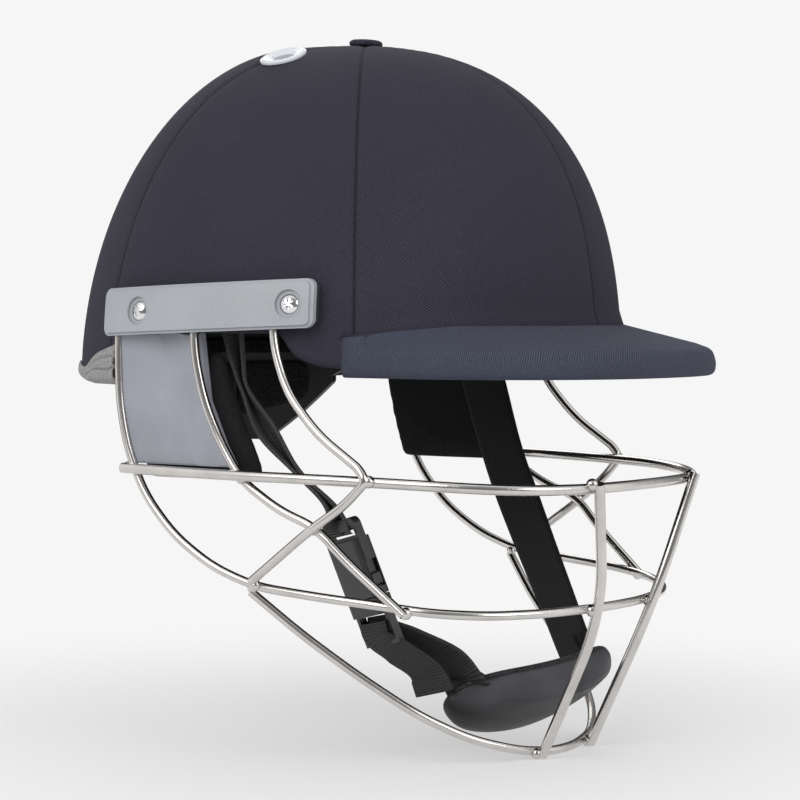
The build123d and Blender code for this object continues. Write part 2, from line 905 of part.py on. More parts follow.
def build_arm(side):
    """One springy arm of the clip, with its hook in the socket's window."""
    top = clip_top()
    x = side * (buckle_width / 2 - socket_wall - clip_gap - arm_width / 2)
    arm = Pos(x, top - arm_length / 2 + clip_gap / 2, 0) * Box(arm_width, arm_length, arm_depth)
    hook_length = window_length / 2
    hook_y = top - clip_gap - 2 * socket_wall - hook_length / 2 - clip_gap
    hook_x = x + side * (arm_width / 2 + arm_hook / 2)
    hook = Pos(hook_x, hook_y, 0) * Box(arm_hook, hook_length, arm_depth)
    hook = fillet(hook.edges().filter_by(Axis.Z).group_by(Axis.X)[0 if side < 0 else -1], arm_hook - clip_gap)
    return buckle_plane().location * (arm + hook)


def cup_section(share, fullness):
    """Tilted oval across the chin cup, at a share of its half length."""
    x = share * cup_half_length
    y = cup_y + cup_bow * share**2 - cup_skew * share
    z = cup_z + cup_bow * share**2 + cup_skew / 2 * share
    plane = Plane(origin=(x, y, z), x_dir=(0, -cup_lean_y, cup_lean_z), z_dir=(1, 0, 0))
    return plane * Ellipse(cup_long * fullness, cup_short * fullness)


def build_cup_body():
    """The whole chin cup, a spindle of tilted ovals."""
    sections = []
    for share in cup_shares:
        sections.append(cup_section(share, math.sqrt(1 - cup_taper * share**2)))
    return loft(sections)


def cup_upper():
    """The half-space above the seam between the cup and its lining."""
    seam = Plane(origin=(0, cup_y, cup_z), x_dir=(1, 0, 0), z_dir=(0, cup_lean_z, cup_lean_y))
    block = Box(3 * cup_half_length, 3 * cup_half_length, overrun)
    return seam.location * Pos(0, 0, cup_seam + overrun / 2) * block


def cradle_band(outer, inner_gap, top, foot):
    """An oval wall round the head."""
    half = cradle_half_width - outer
    rear = cradle_rear - outer
    ring = egg(half, rear, rear) - egg(half - inner_gap, rear - inner_gap, rear - inner_gap)
    return Pos(0, cradle_middle, foot) * extrude(ring, amount=top - foot)


def cradle_shape():
    """Side view of the cradle: narrow arms that widen to the nape."""
    rear = cradle_middle + cradle_rear
    points = [
        (cradle_front, cradle_top - cradle_arm_taper),
        (cradle_front, cradle_arm_foot),
        (cradle_front + cradle_sweep, cradle_knee),
        (rear - cradle_flat, cradle_foot),
        (rear + overrun, cradle_foot),
        (rear + overrun, cradle_top),
        (cradle_front + cradle_sweep, cradle_top),
    ]
    return side_cut(points, cradle_corner)


def build_cradle():
    """Nape cradle with two lightening windows and the dial's bearing."""
    wall = cradle_band(0, cradle_wall, cradle_top, cradle_foot)
    turn = math.degrees(math.atan2(cradle_half_width, cradle_rear))
    window = extrude(SlotOverall(2 * cradle_window, cradle_window), amount=overrun, both=True)
    middle = Pos(0, cradle_middle, dial_z + cradle_window)
    windows = []
    for side in (-1, 1):
        windows.append(middle * Rot(0, 0, side * turn) * Rot(-90, 0, 0) * Pos(0, 0, cradle_rear) * window)
    wall = (wall - windows) & cradle_shape()
    rear = cradle_middle + cradle_rear
    boss = Pos(0, rear, dial_z) * Rot(-90, 0, 0)
    wall += boss * Pos(0, 0, -cradle_wall / 4) * Cylinder(dial_radius, cradle_wall)
    wall += boss * Pos(0, 0, dial_wall / 2) * Cylinder(dial_bearing, dial_wall)
    return wall


def cradle_side(y, inset):
    """Half the cradle's width at one place along it, drawn in by inset."""
    half = cradle_half_width - inset
    return half * math.sqrt(1 - ((y - cradle_middle) / (cradle_rear - inset)) ** 2)


def build_band():
    """Right-hand fit band, from inside the cradle's arm to a slot on the strap post."""
    x = -(post_inner_face() - post_reach + band_inset)
    joint_end = cradle_front + band_lap
    inset = cradle_wall + band_wall / 2
    bend_y = post_y + cradle_travel + band_height
    half = band_height / 2
    arm_z = (cradle_top + cradle_arm_foot) / 2
    points = [
        (band_front, post_z - half),
        (band_front, post_z + half),
        (bend_y, post_z + half),
        (cradle_front, arm_z + half),
        (joint_end, arm_z + half),
        (joint_end, arm_z - half),
        (cradle_front, arm_z - half),
        (bend_y, post_z - half),
    ]
    sheet = side_cut(points, band_corner)
    plan = Polyline(
        (x, band_front - band_wall),
        (x, bend_y),
        (-cradle_side(cradle_front, inset), cradle_front),
        (-cradle_side(joint_end, inset), joint_end),
    )
    strip = extrude(trace(plan, line_width=band_wall), amount=2 * overrun, both=True)
    slot_length = cradle_travel + 2 * (post_radius + fit_gap)
    slot_y = post_y + cradle_travel / 2
    slot = Plane.YZ * Pos(slot_y, post_z) * SlotOverall(slot_length, 2 * (post_radius + fit_gap))
    return strip & sheet - extrude(slot, amount=2 * crown_half_width, both=True)


def build_nape_pad():
    """Soft pad inside the cradle."""
    outer = cradle_wall + fit_gap
    wall = cradle_band(outer, nape_pad, cradle_top - cradle_corner, cradle_foot + nape_pad)
    width = nape_pad_share * cradle_half_width
    keep = Pos(0, cradle_middle + cradle_rear, 0) * Box(width, overrun, 4 * overrun)
    return wall & keep


def build_dial():
    """Ratchet dial on the cradle's rear, with finger grips round its rim."""
    rear = cradle_middle + cradle_rear
    dial = Cylinder(dial_radius, dial_wall)
    for n in range(dial_grips):
        angle = math.radians(360 / dial_grips * n)
        place = Pos(dial_radius * math.cos(angle), dial_radius * math.sin(angle), 0)
        dial -= place * Cylinder(dial_grip, dial_wall)
    dial -= Cylinder(dial_bearing + fit_gap, dial_wall)
    middle = rear + cradle_wall / 4 + fit_gap + dial_wall / 2
    return Pos(0, middle, dial_z) * Rot(-90, 0, 0) * dial


def both_sides(parts, name, piece):
    """Writes down a right-hand piece and its mirror image."""
    parts[name + "_right"] = piece
    parts[name + "_left"] = mirror(piece, about=Plane.YZ)


def main():
    layers = {
        "cloth": crown(0),
        "cloth_gap": crown(fit_gap),
        "shell": crown(-cloth),
        "shell_inside": crown(-cloth - shell_wall),
        "shell_gap": crown(-cloth - shell_wall - fit_gap),
        "liner_inside": crown(-cloth - shell_wall - liner_side, liner_side - liner_end),
        "liner_gap": crown(-cloth - shell_wall - liner_side - fit_gap, liner_side - liner_end),
        "pad_inside": crown(-cloth - shell_wall - liner_side - pad_thickness, liner_side - liner_end),
        "roll_inside": crown(-cloth - shell_wall - pad_thickness - fit_gap),
        "plate_inside": crown(plate_grow() - plate_wall),
        "plate_step": crown(plate_grow() - plate_step_wall),
        "plate": crown(plate_grow()),
    }
    parts = {
        "shell": build_shell(layers),
        "peak_core": build_peak_core(layers),
        "peak_cover": build_peak_cover(layers),
    }
    parts.update(build_panels(layers))
    parts["top_button"] = build_button()
    both_sides(parts, "eyelet", build_eyelet())
    parts["liner"] = build_liner(layers)
    parts["brow_pad"] = build_brow_pad(layers)
    parts["crown_pad"] = build_crown_pad(layers)
    both_sides(parts, "side_pad", build_side_pad(layers))
    parts["nape_roll"] = build_nape_roll(layers)

    clear = side_wire + 2 * groove_clear
    uprights = {
        "rear": bent_wire(rear_upright[:7], clear),
        "middle": bent_wire(middle_wire[:6], clear),
        "front": bent_wire(front_wire[:5], clear),
    }
    both_sides(parts, "side_plate", build_plate(layers))
    both_sides(parts, "spacer", build_spacer(layers, uprights.values()))
    for name, (y, z) in zip(("rear", "front"), screw_places()):
        both_sides(parts, "screw_" + name, build_screw(y, z))
        both_sides(parts, "nut_" + name, build_nut(layers, y, z))

    parts["lower_bar"] = bent_wire(mirrored(rear_upright), side_wire)
    parts["upper_bar"] = bent_wire(mirrored(upper_bar), bar_wire)
    parts["chin_bar"] = bent_wire(mirrored(chin_bar), side_wire)
    both_sides(parts, "middle_wire", bent_wire(middle_wire, side_wire))
    both_sides(parts, "front_wire", bent_wire(front_wire, side_wire))
    both_sides(parts, "front_vertical", bent_wire(front_vertical, bar_wire))

    both_sides(parts, "ear_guard", build_guard((uprights["rear"], uprights["middle"])))
    both_sides(parts, "ear_pad", build_ear_pad())
    both_sides(parts, "strap_post", build_strap_post(layers))

    cup = build_cup_body()
    parts["left_strap"] = ribbon(left_strap, strap_wide) - post_hole() - cup
    upper, lower, tail = build_right_straps()
    parts["right_strap"] = upper
    parts["lower_strap"] = lower - cup
    parts["strap_tail"] = tail
    parts["buckle_socket"] = build_socket()
    parts["buckle_clip"] = build_clip()
    parts["buckle_arm_front"] = build_arm(-1)
    parts["buckle_arm_rear"] = build_arm(1)
    parts["chin_cup"] = cup - cup_upper()
    parts["chin_lining"] = cup & Pos(0, 0, fit_gap) * cup_upper()
    parts["cradle"] = build_cradle()
    parts["nape_pad"] = build_nape_pad()
    both_sides(parts, "fit_band", build_band())
    parts["dial"] = build_dial()

    os.makedirs("parts", exist_ok=True)
    for name, part in parts.items():
        export_step(part, "parts/" + name + ".step")


main()
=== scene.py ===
import json
import math

import bpy
import numpy as np
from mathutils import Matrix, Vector
from mathutils.kdtree import KDTree


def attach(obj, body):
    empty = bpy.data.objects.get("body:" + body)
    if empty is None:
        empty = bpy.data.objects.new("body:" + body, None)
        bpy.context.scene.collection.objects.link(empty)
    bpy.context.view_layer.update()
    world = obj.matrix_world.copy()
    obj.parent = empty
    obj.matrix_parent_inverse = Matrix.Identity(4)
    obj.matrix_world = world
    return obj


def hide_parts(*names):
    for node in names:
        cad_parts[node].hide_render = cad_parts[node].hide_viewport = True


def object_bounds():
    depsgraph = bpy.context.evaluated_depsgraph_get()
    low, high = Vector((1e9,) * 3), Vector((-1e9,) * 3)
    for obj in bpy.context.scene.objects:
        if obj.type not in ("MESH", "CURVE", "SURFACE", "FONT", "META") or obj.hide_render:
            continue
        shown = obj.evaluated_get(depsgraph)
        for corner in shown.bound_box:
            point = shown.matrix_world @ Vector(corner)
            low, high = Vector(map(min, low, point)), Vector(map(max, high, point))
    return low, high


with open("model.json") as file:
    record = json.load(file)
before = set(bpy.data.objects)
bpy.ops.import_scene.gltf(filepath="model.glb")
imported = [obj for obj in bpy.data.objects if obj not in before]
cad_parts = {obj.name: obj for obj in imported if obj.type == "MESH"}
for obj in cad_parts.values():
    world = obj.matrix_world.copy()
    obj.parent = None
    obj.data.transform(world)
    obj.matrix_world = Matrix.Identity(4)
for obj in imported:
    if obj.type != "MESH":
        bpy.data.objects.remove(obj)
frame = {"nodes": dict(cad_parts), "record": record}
cad_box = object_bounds()
nodes = frame["nodes"]

MM = 0.001

# Pitches of the weaves, in metres
twill_pitch = 0.00085
rib_pitch = 0.0010
thread_pitch = 0.0009

# Sizes in millimetres, mostly the solids' own; the button's height, the peak's rim
# and the straps' stations differ a little from theirs, to fit the photograph

crown_half_width = 103.0
crown_front = 151.5
crown_rear = 107.7
crown_middle = 21.9
crown_base = -4.2
crown_height = 152.8
side_roundness = 2.15
front_roundness = 2.75
rear_roundness = 1.88

button_y = -8.0
button_radius = 7.5
button_height = 3.0
seam_angles = (0, 56, 125, 180)

# The crown cloth's lower edge, from beside the peak back to the nape
lower_edge_y = (
    -66.0, -60.0, -54.5, -49.5, -46.0, -42.0, -39.5, -37.0, -35.0,
    49.0, 52.0, 61.0, 70.0, 78.0, 83.0, 92.0, 122.1,
)
lower_edge_z = (
    5.6, 6.0, 6.4, 7.4, 8.8, 10.6, 12.0, 17.0, 20.5,
    20.5, 13.0, 10.7, 8.6, 5.0, 2.0, 2.2, 7.5,
)
edge_blur = 2.5
vent_x = 34.0
vent_y = 12.0
vent_cut = 7.5
vent_lowest = 60.0
cloth_wall = 0.6
gore_start = 4.0
seam_depth = 0.55
seam_spread = 1.8
pucker_depth = 0.10
pucker_pitch = 7.0
hem_fold = 1.2
hem_stitch = 5.0
stitch_depth = 0.22
stitch_spread = 0.9
pucker_fade = 7.0
pucker_rise = 1.5
hem_turn = 2.0
tuck_depth = 0.5
tuck_start = 68.0
tuck_run = 6.0
tuck_gap = 3.0
seam_flare = 1.8
flare_spread = 3.2
flare_start = 72.0
flare_run = 12.0
far_from_seam = 9.0

peak_half_width = 86.0
peak_root_y = -60.0
peak_middle = -77.0
peak_reach = 94.0
peak_squareness = 2.3
peak_rim = 9.0
peak_setback = (0.0, 0.5, 1.4, 2.6, 4.0, 6.0, 9.0)
peak_rise = (-0.4, 1.3, 2.9, 3.9, 4.6, 5.2, 6.2)
peak_shoulder = 8.0
peak_side_shoulder = 1.6
peak_joint = 23.4
peak_joint_fall = 4.4
peak_fall_start = 100.0
peak_fall_run = 40.0
peak_lift = 0.55
peak_lip = 0.7
lip_share = 0.012
lip_run = 10.0
peak_ease = 0.2
heel_ease = 1.4
heel_slope = 1.5
rim_take_up = 0.6
peak_seam_start = 0.25

# From the rim's top edge round and under: how far in, and how high
peak_round = (
    (-0.15, -1.5), (-0.2, -3.2), (0.0, -4.8), (0.5, -6.1),
    (1.3, -6.9), (2.4, -7.3), (3.4, -7.2), (3.6, -5.0),
)

# The shell's rim between the ear and the nape, and the binding round it
rim_y = (68.5, 80.1, 122.1)
rim_z = (0.5, 0.5, 7.5)
binding_angles = (122.0, 149.5)
binding_swell = 0.9
binding_wall = 0.8
binding_under = 3.2
binding_over = 2.5
binding_below = 2.2
binding_lift = 0.5
binding_fall = 2.4
binding_radius = 100.0
binding_folds = ((1.7, 0.42, -0.04, 31, 0.045), (1.6, 0.72, 0.05, 19, 0.04))

cradle_half_width = 71.0
cradle_rear = 84.0
cradle_middle = 21.0
cradle_wall = 2.4
lining_angles = (27.0, 54.0)
lining_wall = 0.3
lining_gap = 0.35
lining_crown = 0.8
lining_round = 0.14
lining_top = 5.0
lining_foot = (-22.0, -13.0)

strap_width = 20.0
strap_wide = 24.0
fold_inset = 1.1
strap_wall = 1.6
strap_bevel = 0.5
strap_points = 14
strap_pinch = 0.08
tail_hem = 7.0
tail_doubling = 0.9
tail_groove = 0.25
tail_spread = 0.6

cup_half_length = 51.0
cup_long = 19.0
cup_y = -101.0
cup_z = -135.5
cup_bow = 6.2
cup_skew = 6.0
cup_lean_y = 0.62
cup_lean_z = 0.78
cup_taper = 0.84
cup_shell = 11.5
cup_cushion = 7.0
cup_ridge = 0.55
cup_facet = 0.7
cup_arch = 2.6
cup_seam_step = 0.3
groove_depth = 0.9
groove_spread = 0.035

# Webbing: centre of each station, and the direction its width runs in;
# the last one of left_strap and of lower_strap is inside the cup
left_strap = [
    ((87.0, -1.0, 36.0), (0, 1, -0.25)),
    ((87.0, -3.0, 27.0), (0, 1, -0.25)),
    ((86.6, -9.0, 10.0), (0, 1, -0.35)),
    ((84.5, -17.0, -12.0), (0, 1, -0.4)),
    ((79.0, -30.5, -41.0), (0.1, 1, -0.4)),
    ((69.5, -49.0, -68.0), (0.15, 1, -0.45)),
    ((58.0, -73.0, -102.0), (0.3, 1, -0.5)),
    ((49.0, -90.0, -124.0), (0.4, 1, -0.4)),
    ((46.0, -98.0, -125.2), (0.3, 0.85, -0.5)),
]
right_strap = [
    ((-87.0, -2.0, 36.0), (0, 1, -0.1)),
    ((-87.0, -3.5, 27.0), (0, 1, -0.1)),
    ((-86.0, -5.5, 10.0), (-0.3, 1, -0.1)),
    ((-84.8, -8.0, -4.0), (-0.55, 0.85, 0)),
    ((-83.0, -18.0, -21.0), (-0.55, 0.85, -0.1)),
    ((-79.5, -33.5, -39.0), (-0.4, 0.9, -0.1)),
]
lower_strap = [
    ((-57.6, -74.2, -108.1), (0.3, 0.9, -0.5)),
    ((-47.6, -87.0, -116.6), (0.3, 0.8, -0.6)),
    ((-43.7, -93.3, -125.0), (0.3, 0.8, -0.6)),
    ((-38.6, -88.1, -130.4), (0.0, 0.62, -0.78)),
]
strap_tail = [
    ((-64.6, -73.0, -112.0), (0.3, 0.9, -0.4)),
    ((-57.5, -81.5, -120.0), (0.2, 0.95, -0.3)),
    ((-53.7, -84.3, -129.3), (0.15, 0.85, -0.5)),
]
buckle_top = Vector((-75.0, -50.6, -57.6))
buckle_foot = Vector((-66.2, -65.6, -104.4))
buckle_side = Vector((0.36, 0.93, -0.2))
ladder = 41.5
ladder_rest = 2.5

# How far open the near strap lies at each station, from folded to flat
right_opening = (1.0, 0.6, 0.3, 0.15, 0.4, 0.1, 0.24, 1.0)

weld_size = 2.3
weld_spread = 0.3
weld_lump = 0.10
weld_apart = 12.0


# ------------------------------ materials

def new_material(name, color, roughness, **sockets):
    """A material with its shader's plain values set; returns it with its tree."""
    material = bpy.data.materials.new(name)
    material.use_nodes = True
    tree = material.node_tree
    shader = tree.nodes["Principled BSDF"]
    shader.inputs["Base Color"].default_value = (*color, 1)
    shader.inputs["Roughness"].default_value = roughness
    for socket, value in sockets.items():
        shader.inputs[socket.replace("_", " ")].default_value = value
    return material, tree


def add_node(tree, kind, **values):
    """Adds a node, sets its properties, links its sockets or sets their values."""
    made = tree.nodes.new("ShaderNode" + kind)
    for key, value in values.items():
        if key.startswith("in_"):
            socket = key[3:]
            target = made.inputs[int(socket) if socket.isdigit() else socket.replace("_", " ")]
            if isinstance(value, bpy.types.NodeSocket):
                tree.links.new(value, target)
            else:
                target.default_value = value
        else:
            setattr(made, key, value)
    return made


def math_node(tree, operation, first, second=0.0, third=0.0):
    return add_node(tree, "Math", operation=operation, in_0=first, in_1=second, in_2=third).outputs[0]


def map_range(tree, value, low=0.0, high=1.0, from_low=0.0, from_high=1.0, **kind):
    """A value carried from one range to another."""
    made = add_node(tree, "MapRange", in_Value=value, **kind)
    made.inputs["From Min"].default_value = from_low
    made.inputs["From Max"].default_value = from_high
    made.inputs["To Min"].default_value = low
    made.inputs["To Max"].default_value = high
    return made.outputs[0]


def waves(tree, value, pitch):
    return math_node(tree, "SINE", math_node(tree, "MULTIPLY", value, 2 * math.pi / pitch))


def scaled(tree, color, share):
    return add_node(tree, "VectorMath", operation="SCALE", in_0=color, in_Scale=share).outputs[0]


def pattern_place(tree, name="Pattern"):
    """A place on the piece's flat pattern, as two values in metres."""
    flat = add_node(tree, "UVMap", uv_map=name).outputs["UV"]
    split = add_node(tree, "SeparateXYZ", in_Vector=flat)
    return split.outputs["X"], split.outputs["Y"]


def ramp(tree, factor, stops):
    """Colours from a factor; each stop is a place and a colour or a grey."""
    made = add_node(tree, "ValToRGB", in_Fac=factor)
    elements = made.color_ramp.elements
    while len(elements) < len(stops):
        elements.new(1.0)
    for element, (place, color) in zip(elements, stops):
        element.position = place
        element.color = (*color, 1) if isinstance(color, tuple) else (color, color, color, 1)
    return made.outputs["Color"]


def object_place(tree):
    return add_node(tree, "TexCoord").outputs["Object"]


def noise(tree, place, scale, detail=3.0, rough=0.5):
    made = add_node(tree, "TexNoise", in_Vector=place, in_Scale=scale, in_Detail=detail)
    made.inputs["Roughness"].default_value = rough
    return made.outputs["Fac"]


def into(tree, socket, value):
    tree.links.new(value, tree.nodes["Principled BSDF"].inputs[socket])


def raise_bump(tree, height, distance, strength=1.0):
    made = add_node(tree, "Bump", in_Height=height, in_Distance=distance, in_Strength=strength)
    into(tree, "Normal", made.outputs["Normal"])


def tint(color, share):
    return tuple(channel * share for channel in color)


def twill(name, color, pitch):
    """Diagonal twill laid out by each piece's own flat pattern, with painted shade darkening it along
    its seams.
    """
    material, tree = new_material(name, color, 0.88, Sheen_Weight=0.02, Specular_IOR_Level=0.22)
    x, y = pattern_place(tree)
    from_seam, _ = pattern_place(tree, "Edges")
    wander = math_node(tree, "MULTIPLY", noise(tree, object_place(tree), 260.0, 2.0), pitch * 0.9)
    across = math_node(tree, "ADD", math_node(tree, "ADD", x, y), wander)
    along = math_node(tree, "SUBTRACT", x, y)
    diagonal = pitch * math.sqrt(2)
    line = waves(tree, across, diagonal)
    bead = waves(tree, along, diagonal / 1.7)
    weave = math_node(tree, "MULTIPLY_ADD", line, 0.38, 0.5)
    weave = math_node(tree, "ADD", weave, math_node(tree, "MULTIPLY", bead, 0.12))
    mottle = noise(tree, object_place(tree), 900.0, 4.0, 0.7)
    tone = math_node(tree, "ADD", weave, math_node(tree, "MULTIPLY_ADD", mottle, 0.7, -0.35))
    weave_color = ramp(tree, tone, [(0.0, tint(color, 0.5)), (0.5, color), (1.0, tint(color, 1.75))])
    # Painted shade: within 1.1 mm of a seam the cloth's colour falls to 0.35 of itself, standing in for
    # the shade in the seam's groove
    painted_seam_shade = map_range(tree, from_seam, 0.35, 1.0, 0.0, 0.0011)
    patch = map_range(tree, noise(tree, object_place(tree), 18.0, 3.0), 0.86, 1.14)
    into(tree, "Base Color", scaled(tree, weave_color, math_node(tree, "MULTIPLY", painted_seam_shade, patch)))
    raise_bump(tree, tone, 0.00022, 0.55)
    return material


def fabric(name, color, scale, spread=0.6, depth=0.0004):
    """Knitted or brushed cloth: fine cells with tone from loop to loop."""
    material, tree = new_material(name, color, 0.92, Sheen_Weight=0.01, Specular_IOR_Level=0.25)
    place = object_place(tree)
    cells = add_node(tree, "TexVoronoi", in_Vector=place, in_Scale=scale).outputs["Distance"]
    soft = noise(tree, place, scale * 0.35, 5.0, 0.65)
    tone = math_node(tree, "MULTIPLY_ADD", cells, 0.6, math_node(tree, "MULTIPLY", soft, 0.6))
    stops = [(0.25, tint(color, 1 + spread)), (0.75, tint(color, 1 - spread))]
    into(tree, "Base Color", ramp(tree, tone, stops))
    raise_bump(tree, tone, depth, 0.6)
    return material


def webbing(name, color):
    """Woven tape: ribs across it all along, fine threads and some fuzz."""
    material, tree = new_material(name, color, 0.7, Sheen_Weight=0.01, Specular_IOR_Level=0.3)
    x, y = pattern_place(tree)
    fuzz = noise(tree, object_place(tree), 1200.0, 3.0, 0.7)
    tone = math_node(tree, "MULTIPLY_ADD", waves(tree, y, rib_pitch), 0.22, 0.2)
    tone = math_node(tree, "MULTIPLY_ADD", waves(tree, x, thread_pitch), 0.08, tone)
    tone = math_node(tree, "MULTIPLY_ADD", fuzz, 0.6, tone)
    stops = [(0.1, tint(color, 0.5)), (0.5, color), (0.95, tint(color, 3.6))]
    into(tree, "Base Color", ramp(tree, tone, stops))
    raise_bump(tree, tone, 0.0002, 0.7)
    return material


def moulded(name, color, roughness, grain_size, tone_shift=0.25, coat=0.0, depth=0.00006):
    """Moulded plastic or rubber: fine grain, faint scuffs and uneven gloss."""
    material, tree = new_material(name, color, roughness, Coat_Weight=coat, Coat_Roughness=0.25)
    place = object_place(tree)
    grain = noise(tree, place, grain_size, 4.0, 0.6)
    cloud = noise(tree, place, 35.0, 4.0)
    stops = [(0.3, tint(color, 1 - tone_shift)), (0.7, tint(color, 1 + tone_shift))]
    mixed = math_node(tree, "MULTIPLY_ADD", grain, 0.45, math_node(tree, "MULTIPLY", cloud, 0.55))
    into(tree, "Base Color", ramp(tree, mixed, stops))
    into(tree, "Roughness", map_range(tree, cloud, roughness - 0.1, min(roughness + 0.12, 1.0)))
    raise_bump(tree, grain, depth, 0.5)
    return material


def steel(name, color, roughness):
    """Drawn wire: fine scratches, dull patches and a warm tone."""
    material, tree = new_material(name, color, roughness, Metallic=1.0)
    place = object_place(tree)
    scratch = noise(tree, place, 1500.0, 3.0, 0.7)
    cloud = noise(tree, place, 60.0, 5.0, 0.6)
    stops = [(0.3, tint(color, 0.86)), (0.55, color), (0.75, tint(color, 1.06))]
    into(tree, "Base Color", ramp(tree, cloud, stops))
    into(tree, "Roughness", map_range(tree, cloud, roughness + 0.05, roughness - 0.05))
    raise_bump(tree, scratch, 0.0000015, 0.2)
    return material


def leather(name, color):
    """Grained soft skin of the chin cup, satin, with painted light making its upper facet paler and
    painted shade darkening its lower facet.
    """
    coat = {"Coat_Weight": 0.06, "Coat_Roughness": 0.3}
    material, tree = new_material(name, color, 0.48, Specular_IOR_Level=0.35, **coat)
    place = object_place(tree)
    cells = add_node(tree, "TexVoronoi", in_Vector=place, in_Scale=620.0, feature="DISTANCE_TO_EDGE")
    creases = ramp(tree, cells.outputs["Distance"], [(0.0, 0.0), (0.16, 1.0)])
    cloud = noise(tree, place, 45.0, 4.0)
    upward, _ = pattern_place(tree)
    # Painted light and shade: the colour is scaled from 0.45 on the lower facet to 2.3 on the upper
    # facet, across the cup's pattern
    tone_shift = map_range(tree, upward, 0.45, 2.3, -0.002, 0.007)
    mottled = ramp(tree, cloud, [(0.3, tint(color, 0.7)), (0.7, tint(color, 1.5))])
    into(tree, "Base Color", scaled(tree, mottled, tone_shift))
    into(tree, "Roughness", map_range(tree, cloud, 0.38, 0.62))
    raise_bump(tree, creases, 0.00012, 0.55)
    return material


crown_cloth = twill("crown_cloth", (0.034, 0.032, 0.047), twill_pitch)
peak_cloth = twill("peak_cloth", (0.054, 0.060, 0.088), twill_pitch)
# Three tones of one webbing: darkest on the far left strap, mid on the lower strap and the tail,
# lightest on the near right strap
webbing_black = webbing("webbing_black", (0.008, 0.008, 0.009))
webbing_mid_tone = webbing("webbing_mid_tone", (0.020, 0.020, 0.022))
webbing_light_tone = webbing("webbing_light_tone", (0.040, 0.040, 0.041))
pad_cloth = fabric("pad_cloth", (0.016, 0.016, 0.018), 900.0)
mesh_cloth = fabric("mesh_cloth", (0.55, 0.54, 0.53), 700.0, 0.8, 0.0006)
binding_mesh = fabric("binding_mesh", (0.40, 0.395, 0.39), 2400.0, 0.4, 0.0003)
roll_cloth = fabric("roll_cloth", (0.05, 0.05, 0.053), 900.0, 0.6, 0.0003)
foam_black = fabric("foam_black", (0.012, 0.0125, 0.014), 1500.0, 0.45, 0.0002)
foam_liner = fabric("foam_liner", (0.02, 0.02, 0.022), 900.0, 0.3, 0.0002)
cup_skin = leather("cup_skin", (0.020, 0.0205, 0.023))
shell_black = moulded("shell_black", (0.03, 0.03, 0.036), 0.6, 500.0)
eyelet_white = moulded("eyelet_white", (0.74, 0.77, 0.80), 0.32, 700.0, 0.06, 0.2)
plate_grey = moulded("plate_grey", (0.395, 0.415, 0.435), 0.42, 1100.0, 0.10, 0.1, 0.00009)
guard_grey = moulded("guard_grey", (0.345, 0.355, 0.402), 0.5, 1800.0, 0.18, 0.0, 0.0001)
rubber_black = moulded("rubber_black", (0.03, 0.03, 0.032), 0.7, 800.0)
plastic_black = moulded("plastic_black", (0.013, 0.013, 0.0145), 0.42, 800.0, 0.3, 0.1)
wire_steel = steel("wire_steel", (0.68, 0.655, 0.63), 0.2)
screw_chrome = steel("screw_chrome", (0.78, 0.78, 0.79), 0.14)

cad_materials = {
    "crown_cloth": crown_cloth,
    "peak_cloth": peak_cloth,
    "shell_plastic": shell_black,
    "white_plastic": eyelet_white,
    "grey_plastic": plate_grey,
    "guard_plastic": guard_grey,
    "guard_wire": wire_steel,
    "screw_steel": screw_chrome,
    "black_rubber": rubber_black,
    "foam": foam_liner,
    "black_foam": foam_black,
    "pad_fabric": pad_cloth,
    "grey_mesh": mesh_cloth,
    "black_plastic": plastic_black,
    "black_leather": cup_skin,
    "webbing": webbing_black,
}
for entry in frame["record"]["subparts"]:
    shown = nodes[entry["node"]]
    for place in shown.material_slots:
        place.material = cad_materials[entry["material_slot"]]


# ------------------------------ mesh tools

def new_piece(name, points, faces, material, body, smooth=True):
    """A mesh from points in millimetres, riding on a body."""
    mesh = bpy.data.meshes.new(name)
    mesh.from_pydata([tuple(p) for p in np.asarray(points, float) * MM], [], faces)
    mesh.materials.append(material)
    mesh.shade_smooth() if smooth else mesh.shade_flat()
    piece = bpy.data.objects.new(name, mesh)
    bpy.context.scene.collection.objects.link(piece)
    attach(piece, body)
    return piece


def lay_pattern(piece, name, flat):
    """Gives each corner its vertex's place on a flat pattern, in metres."""
    layer = piece.data.uv_layers.new(name=name)
    corners = np.zeros(len(piece.data.loops), np.int32)
    piece.data.loops.foreach_get("vertex_index", corners)
    layer.data.foreach_set("uv", (np.asarray(flat, float)[corners] * MM).ravel())


def grid_faces(rows, columns, closed=False):
    """Quads over a grid whose points run row by row."""
    faces = []
    last = columns if closed else columns - 1
    for r in range(rows - 1):
        for c in range(last):
            d = (c + 1) % columns
            here, beyond = r * columns, (r + 1) * columns
            faces.append((here + c, here + d, beyond + d, beyond + c))
    return faces


def tube_faces(rings, count):
    """Quads round a row of closed rings, and a face over each end."""
    faces = grid_faces(rings, count, True)
    faces.append(tuple(range(count))[::-1])
    faces.append(tuple((rings - 1) * count + c for c in range(count)))
    return faces


def run_along(points):
    """Distance from a line's first point to each of its points."""
    steps = np.linalg.norm(np.diff(points, axis=0), axis=1)
    return np.concatenate([[0], np.cumsum(steps)])


def bell(distance, spread):
    return np.exp(-((distance / spread) ** 2))


def thicken(piece, wall, offset=-1.0):
    made = piece.modifiers.new("Thickness", "SOLIDIFY")
    made.thickness = wall * MM
    made.offset = offset


# ------------------------------ crown

def rounding(share, power):
    return (1 - np.clip(share, 0, 1) ** power) ** (1 / power)


def crown_axes(share):
    """Half width, front and rear reach of the crown at a share of its height."""
    half = crown_half_width * rounding(share, side_roundness)
    front = crown_front * rounding(share, front_roundness)
    rear = crown_rear * rounding(share, rear_roundness)
    return half, front, rear


